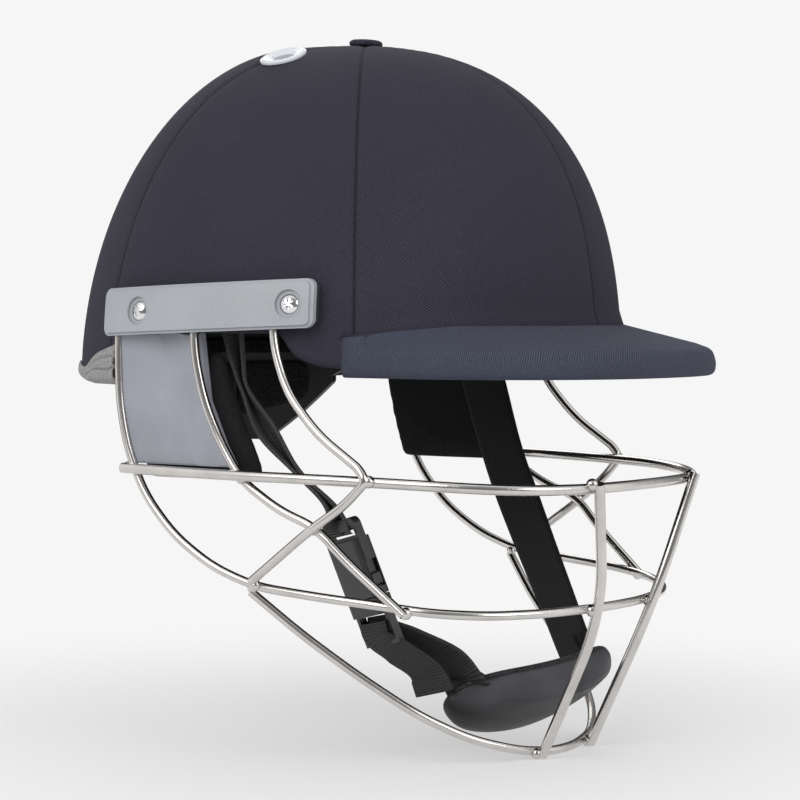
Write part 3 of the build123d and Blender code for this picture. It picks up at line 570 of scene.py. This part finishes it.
def crown_top(x, y):
    """Height of the crown's outside over places, found by halving."""
    low = np.zeros(np.broadcast(x, y).shape)
    high = np.ones_like(low)
    for _ in range(40):
        share = (low + high) / 2
        half, front, rear = crown_axes(share)
        reach = np.where(y < crown_middle, front, rear)
        across = x / np.maximum(half, 1e-9)
        along = (y - crown_middle) / np.maximum(reach, 1e-9)
        inside = across**2 + along**2 < 1
        low = np.where(inside, share, low)
        high = np.where(inside, high, share)
    return crown_base + low * crown_height


def crown_reach(angle, z):
    """Distance from the button's axis to the crown's outside, one way at one height."""
    half, front, rear = crown_axes((z - crown_base) / crown_height)
    behind = button_y - crown_middle
    sine, cosine = np.sin(angle), np.cos(angle)
    distances = []
    for reach in (front, rear):
        a = (sine / half) ** 2 + (cosine / reach) ** 2
        b = -2 * behind * cosine / reach**2
        c = (behind / reach) ** 2 - 1
        distances.append((-b + np.sqrt(b * b - 4 * a * c)) / (2 * a))
    ahead, astern = distances
    return np.where(behind - ahead * cosine < 0, ahead, astern)


def crown_normal(x, y):
    """Outward direction of the crown at places away from its lower edge."""
    step = 0.5
    rise_x = (crown_top(x + step, y) - crown_top(x - step, y)) / (2 * step)
    rise_y = (crown_top(x, y + step) - crown_top(x, y - step)) / (2 * step)
    normal = np.stack([-rise_x, -rise_y, np.ones_like(rise_x)], -1)
    return normal / np.linalg.norm(normal, axis=-1, keepdims=True)


def hem_height(y):
    """Height of the cloth's lower edge, with its corners rounded."""
    places = [y + edge_blur * step for step in (-1, -0.5, 0, 0.5, 1)]
    return sum(np.interp(place, lower_edge_y, lower_edge_z) for place in places) / len(places)


def mesh_normals(points):
    """Outward directions of a grid of points over a convex form."""
    down = np.gradient(points, axis=0)
    across = np.gradient(points, axis=1)
    normal = np.cross(down, across)
    length = np.linalg.norm(normal, axis=-1, keepdims=True)
    normal = normal / np.maximum(length, 1e-9)
    outward = points - np.array([0, crown_middle, crown_base])
    return normal * np.sign((normal * outward).sum(-1, keepdims=True))


def joint_height(y):
    """Height of the seam between the crown and the peak."""
    return peak_joint - peak_joint_fall * np.clip((y + peak_fall_start) / peak_fall_run, 0, 1)


def sunk(from_seam, from_hem, along, y, z):
    """How far the cloth lies below the crown's plain surface, at its seams and stitches."""
    sink = seam_depth * bell(from_seam, seam_spread)
    sink = sink + stitch_depth * bell(from_hem - hem_stitch, stitch_spread)
    fade = np.exp(-from_seam / pucker_fade) * (1 - np.exp(-from_seam / pucker_rise))
    sink = sink + pucker_depth * np.sin(along * 2 * math.pi / pucker_pitch) * fade
    below_joint = np.clip((peak_joint - tuck_gap - z) / tuck_gap, 0, 1)
    sink = sink + tuck_depth * np.clip((-y - tuck_start) / tuck_run, 0, 1) * below_joint
    flare = bell(z - joint_height(y), flare_spread)
    return sink - seam_flare * flare * np.clip((-y - flare_start) / flare_run, 0, 1)


def build_panel(name, first, last, side, weave):
    """One gore of the cap, from under the button to its turned hem."""
    columns, rows = 61, 84
    turn = 0.5 - 0.5 * np.cos(np.linspace(0, math.pi, columns))
    angle = np.radians(first + (last - first) * turn)
    hem = np.full(columns, 4.0)
    for _ in range(12):
        reach = crown_reach(angle, hem)
        hem = (hem + hem_height(button_y - reach * np.cos(angle))) / 2
    widest = crown_reach(angle, np.full(columns, crown_base))
    start = np.arcsin(gore_start / widest)
    end = np.arcsin(np.clip(crown_reach(angle, hem) / widest, 0, 1))
    steps = np.linspace(0, 1, rows)[:, None]
    distance = widest * np.sin(start + (end - start) * steps)
    x = distance * np.sin(angle)
    y = button_y - distance * np.cos(angle)
    z = crown_top(x, y)
    z[-1] = hem
    points = np.stack([x, y, z], -1)
    normal = mesh_normals(points)
    run = np.linalg.norm(np.diff(points, axis=0), axis=-1)
    along = np.concatenate([np.zeros((1, columns)), np.cumsum(run, axis=0)])
    middle = math.radians((first + last) / 2)
    flat = np.stack([weave * distance * np.sin(angle - middle), -along], -1)
    to_first, to_last = angle - math.radians(first), math.radians(last) - angle
    from_seam = distance * np.minimum(np.sin(to_first), np.sin(to_last))
    from_hem = along[-1] - along
    points = points - normal * sunk(from_seam, from_hem, along, y, z)[..., None]
    fold = points[-1] - normal[-1] * hem_fold
    points = np.concatenate([points, fold[None], (fold + [0, 0, hem_turn])[None]])
    flat = np.concatenate([flat, flat[-1:] - [0, hem_fold], flat[-1:] - [0, 2 * hem_fold]])
    # Distances from the seams and the hem; the twill paints shade near the seams from the first of them
    edges = np.stack([from_seam, from_hem], -1)
    edges = np.concatenate([edges, edges[-1:], edges[-1:]])
    points[..., 0] *= side
    faces = grid_faces(rows + 2, columns)
    places = points.reshape(-1, 3)
    kept = []
    for face in faces:
        face_x, face_y, face_z = places[list(face)].mean(0)
        from_vent = math.hypot(abs(face_x) - vent_x, face_y - vent_y)
        if from_vent > vent_cut or face_z < vent_lowest:
            kept.append(face if side < 0 else face[::-1])
    piece = new_piece(name, places, kept, crown_cloth, "helmet")
    lay_pattern(piece, "Pattern", flat.reshape(-1, 2))
    lay_pattern(piece, "Edges", edges.reshape(-1, 2))
    thicken(piece, cloth_wall)
    return piece


sides = (("right", -1), ("left", 1))
for n, (part_name, weave) in enumerate((("front", 1), ("side", -1), ("rear", 1))):
    for side_name, side in sides:
        full_name = part_name + "_" + side_name
        panel = build_panel("cloth_" + full_name, seam_angles[n], seam_angles[n + 1], side, weave * side)
        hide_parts("panel_" + full_name)


def lathe(profile, turns):
    """Rings of points from a profile of radius and height."""
    angle = np.linspace(0, 2 * math.pi, turns, endpoint=False)
    rings = [np.stack([r * np.cos(angle), r * np.sin(angle), np.full(turns, h)], -1) for r, h in profile]
    return np.array(rings)


def build_button():
    """Cloth-covered button: a flat dome with its cloth drawn in underneath."""
    r, h = button_radius, button_height
    profile = [(0.01, h), (0.25 * r, h * 0.995), (0.5 * r, h * 0.97), (0.75 * r, h * 0.9)]
    profile += [(0.9 * r, h * 0.76), (0.98 * r, h * 0.55), (r, h * 0.3), (0.98 * r, h * 0.08)]
    profile += [(0.85 * r, -0.2), (0.4 * r, -0.3)]
    turns = 48
    rings = lathe(profile, turns)
    flat = rings[..., :2].reshape(-1, 2)
    normal = Vector(crown_normal(np.array(0.0), np.array(button_y)))
    turn = normal.to_track_quat("Z", "Y").to_matrix()
    top = Vector((0, button_y, float(crown_top(np.array(0.0), np.array(button_y)))))
    points = [turn @ Vector(p) + top for p in rings.reshape(-1, 3)]
    faces = grid_faces(len(profile), turns, True)
    piece = new_piece("button_cover", points, faces, crown_cloth, "helmet")
    lay_pattern(piece, "Pattern", flat)
    lay_pattern(piece, "Edges", np.full((len(flat), 2), far_from_seam))
    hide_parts("top_button")


build_button()


# ------------------------------ peak

def even(points, count):
    """A line of points spaced evenly along itself."""
    points = np.asarray(points, float)
    run = run_along(points)
    wanted = np.linspace(0, run[-1], count)
    return np.stack([np.interp(wanted, run, points[:, k]) for k in range(points.shape[1])], -1)


def peak_outline(count):
    """The rim's plan from the right heel round the front to the left heel."""
    angle = np.linspace(0, math.pi, 400)
    power = 2 / peak_squareness
    x = -peak_half_width * np.sign(np.cos(angle)) * np.abs(np.cos(angle)) ** power
    y = peak_middle - peak_reach * np.sin(angle) ** power
    rim = np.stack([x, y], -1)
    root = np.array([[-peak_half_width, peak_root_y]])
    return even(np.concatenate([root, rim, root * [-1, 1]]), count)


def joint_line(count):
    """Where the peak meets the crown, seen from above."""
    half, front, _ = crown_axes((peak_joint - crown_base) / crown_height)
    start = math.asin((crown_middle - peak_root_y) / front)
    angle = np.linspace(start, math.pi - start, 400)
    return even(np.stack([-half * np.cos(angle), crown_middle - front * np.sin(angle)], -1), count)


def build_peak():
    """Cloth over the peak's top, round its rim and under its edge."""
    columns = 141
    rim = peak_outline(columns)
    joint = joint_line(columns)
    joint_z = joint_height(joint[:, 1])
    inward = joint - rim
    reach = np.linalg.norm(inward, axis=1)
    inward = inward / np.maximum(reach, 1e-6)[:, None]
    turned = np.gradient(rim, axis=0)
    turned = np.stack([-turned[:, 1], turned[:, 0]], -1)
    turned /= np.linalg.norm(turned, axis=1, keepdims=True)
    turned *= np.sign((turned * (np.array([0, peak_middle]) - rim)).sum(1, keepdims=True))
    lean = np.abs(inward[:, 1]) ** 2
    stretch = peak_shoulder / (peak_shoulder * lean + peak_side_shoulder * (1 - lean))
    rows, flat = [], []
    over_top, near_rim = np.linspace(0.07, 0.76, 16), np.linspace(0.78, 1.0, 34)
    deepest = peak_setback[-1]
    for share in np.concatenate([[0, 0.006, 0.016, 0.035], over_top, near_rim]):
        plan = joint + (rim - joint) * share
        setback = (1 - share) * reach * stretch
        slope = np.clip(setback - deepest, 0, None) / np.maximum(reach * stretch - deepest, 1e-6)
        top = peak_rim + np.interp(setback, peak_setback, peak_rise)
        top = top + (joint_z - peak_rim - peak_rise[-1]) * slope
        heel = np.minimum(np.maximum(top, joint_z - share * reach * heel_slope), joint_z)
        height = np.where(reach * stretch > deepest + 1, top, heel) + peak_lift
        height = height - peak_lip * bell(share, lip_share) * np.clip(reach / lip_run, 0, 1)
        plan = plan - turned * (peak_ease + heel_ease * (1 - lean) * (1 - share))[:, None]
        rows.append(np.column_stack([plan, height]))
        flat.append(share * reach)
    for inset, drop in peak_round:
        plan = rim + turned * (inset - peak_lift * rim_take_up)
        rows.append(np.column_stack([plan, np.full(columns, peak_rim + peak_lift + drop)]))
        flat.append(reach + inset - drop)
    points = np.array(rows)
    run = run_along(rim)
    along = run - run[-1] / 2
    pattern = np.stack([np.broadcast_to(along, (len(rows), columns)), np.array(flat)], -1)
    from_joint = np.array(flat)
    # Distance from the peak's joint with the crown; the twill paints shade along that joint as along a
    # seam
    edges = np.stack([from_joint + peak_seam_start, from_joint], -1)
    faces = [face[::-1] for face in grid_faces(len(rows), columns)]
    piece = new_piece("cloth_peak", points.reshape(-1, 3), faces, peak_cloth, "helmet")
    lay_pattern(piece, "Pattern", pattern.reshape(-1, 2))
    lay_pattern(piece, "Edges", edges.reshape(-1, 2))
    thicken(piece, cloth_wall)
    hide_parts("peak_cover")


build_peak()


# ------------------------------ webbing

def smooth_line(points, per_run):
    """A curve through the points, with its direction carried from run to run."""
    points = np.asarray(points, float)
    padded = np.concatenate([[2 * points[0] - points[1]], points, [2 * points[-1] - points[-2]]])
    made = []
    for n in range(1, len(padded) - 2):
        p0, p1, p2, p3 = padded[n - 1:n + 3]
        for t in np.linspace(0, 1, per_run, endpoint=False):
            a = 2 * p1 + (p2 - p0) * t
            b = (2 * p0 - 5 * p1 + 4 * p2 - p3) * t**2
            c = (3 * p1 - p0 - 3 * p2 + p3) * t**3
            made.append((a + b + c) / 2)
    made.append(points[-1])
    return np.array(made)


def on_buckle(down, out):
    """A webbing station some way down the buckle, and out from its middle."""
    along = (buckle_foot - buckle_top).normalized()
    side = (buckle_side - along * buckle_side.dot(along)).normalized()
    return tuple(buckle_top + along * down + side.cross(along) * out), tuple(buckle_side)


def build_webbing(name, stations, width, replaced, weave, opening=None, hem=0.0):
    """Tape through a row of stations, flat or folded lengthwise as far as opening says."""
    centres = smooth_line([centre for centre, _ in stations], strap_points)
    across = smooth_line([side for _, side in stations], strap_points)
    direction = np.gradient(centres, axis=0)
    direction /= np.linalg.norm(direction, axis=1, keepdims=True)
    across -= direction * (across * direction).sum(1, keepdims=True)
    across /= np.linalg.norm(across, axis=1, keepdims=True)
    out = np.cross(across, direction)
    half, wall = width / 2, strap_wall / 2
    flank = [half * 0.4, half * 0.8, half - strap_bevel]
    upper = [(-u, -wall) for u in flank[::-1]] + [(0, -wall)] + [(u, -wall) for u in flank]
    outline = [(-half, -0.3 * wall)] + upper + [(half, -0.3 * wall)]
    outline += [(-u, -v) for u, v in outline]
    run = run_along(centres)
    wide = np.ones(len(centres))
    if opening is not None:
        wide = smooth_line([(share, 0) for share in opening], strap_points)[:, 0]
    wide = np.clip(wide, strap_pinch, 1.0)
    deep = np.sqrt(1 - wide**2)
    rows, flat = [], []
    for k in range(len(centres)):
        row = []
        left = run[-1] - run[k]
        double = 1.0
        if hem:
            double += tail_doubling if left < hem else 0.0
            double -= tail_groove * bell(left - hem, tail_spread)
        for u, v in outline:
            v = v * double
            aside = u * wide[k] - np.sign(u) * v * deep[k]
            behind = (abs(u) - half / 2 - fold_inset) * deep[k] + v * wide[k]
            row.append(centres[k] + across[k] * aside + out[k] * behind)
        rows.append(row)
        flat.append([(u, run[k]) for u, _ in outline])
    points = np.array(rows).reshape(-1, 3)
    piece = new_piece(name, points, tube_faces(len(rows), len(outline)), weave, "chin_strap")
    lay_pattern(piece, "Pattern", np.array(flat).reshape(-1, 2))
    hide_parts(replaced)


above_buckle = (on_buckle(-4.5, 1.25)[0], (-0.45, 0.88, -0.1))
right_run = right_strap + [above_buckle, on_buckle(6.4, ladder_rest)]
lower_run = [on_buckle(ladder + down, -ladder_rest) for down in (1.6, 6.4)] + lower_strap
tail_run = [on_buckle(ladder + down, ladder_rest) for down in (3.2, 10.3)] + strap_tail
build_webbing("webbing_left", left_strap, strap_wide, "left_strap", webbing_black)
build_webbing("webbing_right", right_run, strap_width, "right_strap", webbing_light_tone, right_opening)
build_webbing("webbing_lower", lower_run, strap_width, "lower_strap", webbing_mid_tone)
build_webbing("webbing_tail", tail_run, strap_width, "strap_tail", webbing_mid_tone, hem=tail_hem)


# ------------------------------ chin cup

def cup_frame(share):
    """Centre of the cup and how full its section is, at a share of its half length."""
    share = np.asarray(share, float)
    centre = np.stack([
        share * cup_half_length,
        cup_y + cup_bow * share**2 - cup_skew * share,
        cup_z + cup_bow * share**2 + cup_skew / 2 * share,
    ], -1)
    return centre, np.sqrt(1 - cup_taper * share**2)


def build_cup(name, outer, material, replaced):
    """The moulded outside of the cup, or its padded lining, closed at the seam."""
    shares = np.sin(np.linspace(-math.pi / 2, math.pi / 2, 61))
    long_way = np.array([0, -cup_lean_y, cup_lean_z])
    to_chin = np.array([0, cup_lean_z, cup_lean_y])
    widths = np.sin(np.linspace(-math.pi / 2, math.pi / 2, 31))
    if outer:
        beside = np.array([0.015, 0.045, 0.075])
        widths = np.sort(np.concatenate([widths, cup_ridge - beside[::-1], cup_ridge + beside]))
    rows, flat = [], []
    for share in shares:
        centre, full = cup_frame(share)
        crease = max(0.0, 1 - abs(share) ** 3)
        end = (1 - abs(share) ** 7) ** 0.5 * 0.85 + 0.15
        row, lay = [], []
        for w in widths:
            arch = (1 - abs(w) ** cup_arch) ** (1 / cup_arch)
            if outer:
                ridge = 1 - abs(w - cup_ridge) / (1 + cup_ridge if w < cup_ridge else 1 - cup_ridge)
                facet = cup_facet * crease
                depth = -cup_shell * ((1 - facet) * arch + facet * ridge)
                depth += groove_depth * crease * bell(w - cup_ridge, groove_spread)
            else:
                depth = cup_cushion * arch
            depth = depth * full**0.6 * end
            row.append(centre + long_way * w * cup_long * full**0.8 * end + to_chin * depth)
            lay.append((w * cup_long * full, share * cup_half_length))
        seam = -cup_seam_step if outer else cup_seam_step
        for w in widths[-2:0:-1]:
            row.append(centre + long_way * w * cup_long * full**0.8 * end * 0.98 + to_chin * seam * end)
            lay.append((w * cup_long * full, share * cup_half_length))
        rows.append(row)
        flat.append(lay)
    faces = tube_faces(len(rows), len(rows[0]))
    if outer:
        faces = [face[::-1] for face in faces]
    piece = new_piece(name, np.array(rows).reshape(-1, 3), faces, material, "chin_strap")
    lay_pattern(piece, "Pattern", np.array(flat).reshape(-1, 2))
    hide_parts(replaced)


build_cup("cup_outside", True, cup_skin, "chin_cup")
build_cup("cup_lining", False, roll_cloth, "chin_lining")


# ------------------------------ nape

def build_binding(name, side):
    """Padded cloth that wraps the shell's rim between the ear and the nape."""
    angle = np.radians(np.linspace(*binding_angles, 47))
    low = np.full(len(angle), 1.0)
    for _ in range(12):
        reach = crown_reach(angle, low)
        place = button_y - reach * np.cos(angle)
        low = (low + np.interp(place, rim_y, rim_z)) / 2
    high = hem_height(place) + binding_over
    rows, flat = [], []
    for step in np.linspace(0, 1, 41):
        z = low - binding_below + (high - low + binding_below) * step
        height = np.maximum(high - low, 3.0)
        swell = binding_swell * math.sin(math.pi * min(1.0, 0.12 + step)) + binding_lift
        swell = swell - binding_fall * max(0.0, step - 0.8)
        for depth, middle, sway, ripples, spread in binding_folds:
            swell = swell - depth * bell(step - middle + sway * np.sin(angle * ripples), spread)
        under = binding_under * max(0.0, 0.16 - step) / 0.16
        reach = crown_reach(angle, np.maximum(z, crown_base + 0.5))
        reach = reach + swell * np.clip(height / 6.0, 0.3, 1) - under
        rows.append(np.stack([side * reach * np.sin(angle), button_y - reach * np.cos(angle), z], -1))
        flat.append(np.stack([angle * binding_radius, z], -1))
    faces = grid_faces(len(rows), len(angle))
    if side > 0:
        faces = [face[::-1] for face in faces]
    piece = new_piece(name, np.array(rows).reshape(-1, 3), faces, binding_mesh, "helmet")
    lay_pattern(piece, "Pattern", np.array(flat).reshape(-1, 2))
    thicken(piece, binding_wall)


def build_lining(name, side):
    """Thin padded lining inside the cradle's arm, beside the nape pad."""
    columns = 25
    angle = np.radians(np.linspace(*lining_angles, columns))
    along = np.linspace(0, 1, columns)
    foot = lining_foot[0] + (lining_foot[1] - lining_foot[0]) * along
    corner = 1 - np.clip(1 - np.minimum(along, 1 - along) / lining_round, 0, 1) ** 2 * 0.35
    long_crown = np.sin(math.pi * np.clip(along, 0.02, 0.98)) ** 0.4
    rows, flat = [], []
    for step in np.linspace(0, 1, 13):
        z = (lining_top + foot) / 2 + (lining_top - foot) / 2 * corner * (2 * step - 1)
        crowned = long_crown * math.sin(math.pi * min(max(step, 0.03), 0.97)) ** 0.4
        inset = cradle_wall + lining_gap + lining_crown * crowned
        x = side * (cradle_half_width - inset) * np.sin(angle)
        y = cradle_middle + (cradle_rear - inset) * np.cos(angle)
        rows.append(np.stack([x, y, z], -1))
        flat.append(np.stack([angle * cradle_rear, z], -1))
    faces = grid_faces(len(rows), len(angle))
    if side < 0:
        faces = [face[::-1] for face in faces]
    piece = new_piece(name, np.array(rows).reshape(-1, 3), faces, pad_cloth, "cradle")
    lay_pattern(piece, "Pattern", np.array(flat).reshape(-1, 2))
    thicken(piece, lining_wall, 1.0)


for side_name, side in sides:
    build_binding("nape_binding_" + side_name, side)
    build_lining("cradle_lining_" + side_name, side)


# ------------------------------ padded pieces

# Name, node it replaces, body, slot, material, and how far it is drawn in first
pads = [
    ("stuffed_brow_pad", "brow_pad", "helmet", "pad_fabric", pad_cloth, 1.2),
    ("stuffed_crown_pad", "crown_pad", "helmet", "pad_fabric", pad_cloth, 1.2),
    ("stuffed_side_pad_left", "side_pad_left", "helmet", "pad_fabric", pad_cloth, 1.2),
    ("stuffed_side_pad_right", "side_pad_right", "helmet", "pad_fabric", pad_cloth, 1.2),
    ("stuffed_nape_roll", "nape_roll", "helmet", "grey_mesh", roll_cloth, 1.0),
    ("stuffed_nape_pad", "nape_pad", "cradle", "pad_fabric", pad_cloth, 0.9),
    ("foam_ear_pad_left", "ear_pad_left", "helmet", "black_foam", foam_black, 0.8),
    ("foam_ear_pad_right", "ear_pad_right", "helmet", "black_foam", foam_black, 0.8),
]


def modified(piece):
    """The piece's mesh with its modifiers worked in."""
    graph = bpy.context.evaluated_depsgraph_get()
    return bpy.data.meshes.new_from_object(piece.evaluated_get(graph), depsgraph=graph)


def places_of(mesh):
    held = np.zeros(len(mesh.vertices) * 3, np.float32)
    mesh.vertices.foreach_get("co", held)
    return held.reshape(-1, 3)


pad_weld = 0.1
pad_voxel = 1.8
pad_smoothing = 12


def start_pad(name, node, body, slot, material, shrink):
    """A remeshed copy of a CAD pad, drawn in a little all round."""
    mesh = nodes[node].data.copy()
    piece = bpy.data.objects.new(name, mesh)
    bpy.context.scene.collection.objects.link(piece)
    weld = piece.modifiers.new("Weld", "WELD")
    weld.merge_threshold = pad_weld * MM
    remesh = piece.modifiers.new("Remesh", "REMESH")
    remesh.mode = "VOXEL"
    remesh.voxel_size = pad_voxel * MM
    ease = piece.modifiers.new("Ease", "SMOOTH")
    ease.iterations = pad_smoothing
    draw_in = piece.modifiers.new("Draw in", "DISPLACE")
    draw_in.mid_level = 0.0
    draw_in.strength = -shrink * MM
    made = modified(piece)
    piece.modifiers.clear()
    piece.data = made
    made.materials.clear()
    made.materials.append(material)
    made.shade_smooth()
    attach(piece, body)
    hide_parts(node)
    return piece


swell_frames = 20
swell_most = 1.1
swell_pressure = 4.0
pad_stiffness = 20.0


def swell(pieces, most):
    """Fills the pads by a short cloth simulation, each point moving a little at most."""
    before = [places_of(piece.data).copy() for piece in pieces]
    for piece in pieces:
        cloth = piece.modifiers.new("Cloth", "CLOTH")
        cloth.settings.use_pressure = True
        cloth.settings.uniform_pressure_force = swell_pressure
        cloth.settings.effector_weights.gravity = 0.0
        cloth.settings.quality = 4
        cloth.settings.tension_stiffness = pad_stiffness
        cloth.point_cache.frame_end = swell_frames
    for step in range(1, swell_frames + 1):
        bpy.context.scene.frame_set(step)
    for piece, start in zip(pieces, before):
        made = modified(piece)
        moved = places_of(made) - start
        length = np.linalg.norm(moved, axis=1, keepdims=True)
        moved *= np.minimum(1.0, most * MM / np.maximum(length, 1e-9))
        made.vertices.foreach_set("co", (start + moved).ravel())
        piece.modifiers.clear()
        piece.data = made
        made.shade_smooth()
    bpy.context.scene.frame_set(1)


stuffed = [start_pad(*pad) for pad in pads]
swell(stuffed, swell_most)


# ------------------------------ welds

# Two wires, and in how many places they touch
weld_pairs = [
    ("lower_bar", "upper_bar", 2),
    ("chin_bar", "lower_bar", 2),
]
for side_name in ("left", "right"):
    for wire in ("middle_wire_", "front_wire_"):
        weld_pairs.append((wire + side_name, "upper_bar", 1))
        weld_pairs.append((wire + side_name, "lower_bar", 1))
    weld_pairs.append(("middle_wire_" + side_name, "front_wire_" + side_name, 1))
    for bar in ("upper_bar", "lower_bar", "chin_bar"):
        weld_pairs.append(("front_vertical_" + side_name, bar, 1))


def weld_places(first, second, count):
    """Where two wires touch: the middle of their closest points, per touching place."""
    tree = KDTree(len(nodes[second].data.vertices))
    for n, vertex in enumerate(nodes[second].data.vertices):
        tree.insert(vertex.co, n)
    tree.balance()
    near = []
    for vertex in nodes[first].data.vertices:
        spot, _, gap = tree.find(vertex.co)
        near.append((gap, (vertex.co + spot) / 2))
    near.sort(key=lambda pair: pair[0])
    places = []
    for _, spot in near:
        if all((spot - other).length > weld_apart * MM for other in places):
            places.append(spot)
        if len(places) == count:
            break
    return places


def build_welds():
    """Small uneven beads of weld metal at the crossings."""
    rng = np.random.default_rng(7)
    points, faces = [], []
    turns, rings = 16, 9
    for first, second, count in weld_pairs:
        for spot in weld_places(first, second, count):
            start = len(points)
            size = weld_size + weld_spread * rng.random()
            for r in range(rings):
                lift = math.pi * (r + 0.5) / rings
                for t in range(turns):
                    turn = 2 * math.pi * t / turns
                    lump = size * (1 + weld_lump * rng.random())
                    level = math.sin(lift)
                    way = Vector((level * math.cos(turn), level * math.sin(turn), math.cos(lift)))
                    points.append(tuple(spot / MM + way * lump))
            for face in tube_faces(rings, turns):
                faces.append(tuple(start + c for c in face))
    piece = new_piece("weld_beads", points, faces, wire_steel, "helmet")
    soften = piece.modifiers.new("Soften", "SUBSURF")
    soften.levels = soften.render_levels = 1


build_welds()


# ------------------------------ studio

pale = (0.922, 0.922, 0.922)
floor_grey = (0.80, 0.80, 0.80)
floor_radius = 900.0
floor_gap = 0.05
floor_sides = 64
fade_start = 0.10
fade_end = 0.42
view_place = (-0.9004, -0.6835, 0.0326)
view_yaw = 36.1
view_pitch = 2.2
lens_length = 112.5
film_width = 36.0
photo_view = (0.808, 0.589, -0.04)
room_grey = (0.54, 0.54, 0.55)
room_bands = [(0.0, 0.20), (0.16, 0.30), (0.36, 0.95), (0.60, 1.0), (0.78, 0.35), (0.93, 0.08)]


def build_floor():
    """Pale floor: keeps the shadow near the object and fades into the background."""
    size, level = floor_radius, cad_box[0][2] / MM - floor_gap
    ring = np.linspace(0, 2 * math.pi, floor_sides, endpoint=False)
    points = [(0, -20, level)] + [(size * math.cos(a), size * math.sin(a), level) for a in ring]
    faces = [(0, n + 1, (n + 1) % floor_sides + 1) for n in range(floor_sides)]
    mesh = bpy.data.meshes.new("studio_floor")
    mesh.from_pydata([tuple(c * MM for c in p) for p in points], [], faces)
    material = bpy.data.materials.new("floor_paper")
    material.use_nodes = True
    tree = material.node_tree
    shader = tree.nodes["Principled BSDF"]
    shader.inputs["Base Color"].default_value = (*floor_grey, 1)
    shader.inputs["Roughness"].default_value = 0.9
    away = add_node(tree, "VectorMath", operation="LENGTH", in_0=object_place(tree)).outputs["Value"]
    fade = map_range(tree, away, 0.35, 1.0, fade_start, fade_end, interpolation_type="SMOOTHSTEP")
    light = add_node(tree, "LightPath")
    seen = math_node(tree, "MAXIMUM", light.outputs["Is Camera Ray"], light.outputs["Is Glossy Ray"])
    seen = math_node(tree, "MAXIMUM", seen, light.outputs["Is Transmission Ray"])
    share = math_node(tree, "MULTIPLY", seen, fade)
    glow = add_node(tree, "Emission", in_Color=(*pale, 1))
    mix = add_node(tree, "MixShader", in_0=share)
    tree.links.new(shader.outputs[0], mix.inputs[1])
    tree.links.new(glow.outputs[0], mix.inputs[2])
    tree.links.new(mix.outputs[0], tree.nodes["Material Output"].inputs["Surface"])
    mesh.materials.append(material)
    floor = bpy.data.objects.new("studio_floor", mesh)
    bpy.context.scene.collection.objects.link(floor)


def build_world():
    """Pale background; for reflections, a room with bands lying across the photograph's view."""
    world = bpy.data.worlds.new("studio")
    bpy.context.scene.world = world
    world.use_nodes = True
    tree = world.node_tree
    back = tree.nodes["Background"]
    light = add_node(tree, "LightPath")
    place = add_node(tree, "TexCoord").outputs["Generated"]
    toward = add_node(tree, "VectorMath", operation="DOT_PRODUCT", in_0=place, in_1=photo_view)
    room = ramp(tree, map_range(tree, toward.outputs["Value"], from_low=-1.0), room_bands)
    soft = add_node(tree, "MixRGB", in_Fac=light.outputs["Is Glossy Ray"], in_Color2=room)
    soft.inputs["Color1"].default_value = (*room_grey, 1)
    from_camera, passed_on = light.outputs["Is Camera Ray"], light.outputs["Is Transmission Ray"]
    straight = math_node(tree, "MAXIMUM", from_camera, passed_on)
    seen = add_node(tree, "MixRGB", in_Fac=straight, in_Color1=soft.outputs[0], in_Color2=(*pale, 1))
    tree.links.new(seen.outputs[0], back.inputs["Color"])


def build_lamp(name, place, aim, size, power):
    lamp = bpy.data.lights.new(name, "AREA")
    lamp.shape = "DISK"
    lamp.size = size
    lamp.energy = power
    holder = bpy.data.objects.new(name, lamp)
    holder.location = place
    holder.rotation_euler = (Vector(aim) - Vector(place)).to_track_quat("-Z", "Y").to_euler()
    bpy.context.scene.collection.objects.link(holder)


def build_camera():
    """Where the photograph was taken from, with its lens."""
    yaw, pitch = math.radians(view_yaw), math.radians(view_pitch)
    lens = bpy.data.cameras.new("photo_camera")
    lens.lens = lens_length
    lens.sensor_width = film_width
    camera = bpy.data.objects.new("photo_camera", lens)
    camera.location = view_place
    way = Vector((math.cos(yaw) * math.cos(pitch), math.sin(yaw) * math.cos(pitch), -math.sin(pitch)))
    camera.rotation_euler = way.to_track_quat("-Z", "Y").to_euler()
    bpy.context.scene.collection.objects.link(camera)
    bpy.context.scene.camera = camera


build_floor()
build_world()
build_lamp("key_light", (-1.5, 0.1, 1.0), (0, 0, 0), 1.4, 13.0)
build_lamp("front_light", (-0.2, -2.0, 0.8), (0, 0, -0.05), 1.2, 10.0)
build_lamp("back_light", (1.2, 1.2, 1.2), (0, 0, 0), 1.2, 7.5)
build_camera()
bpy.context.scene.view_settings.view_transform = "Standard"
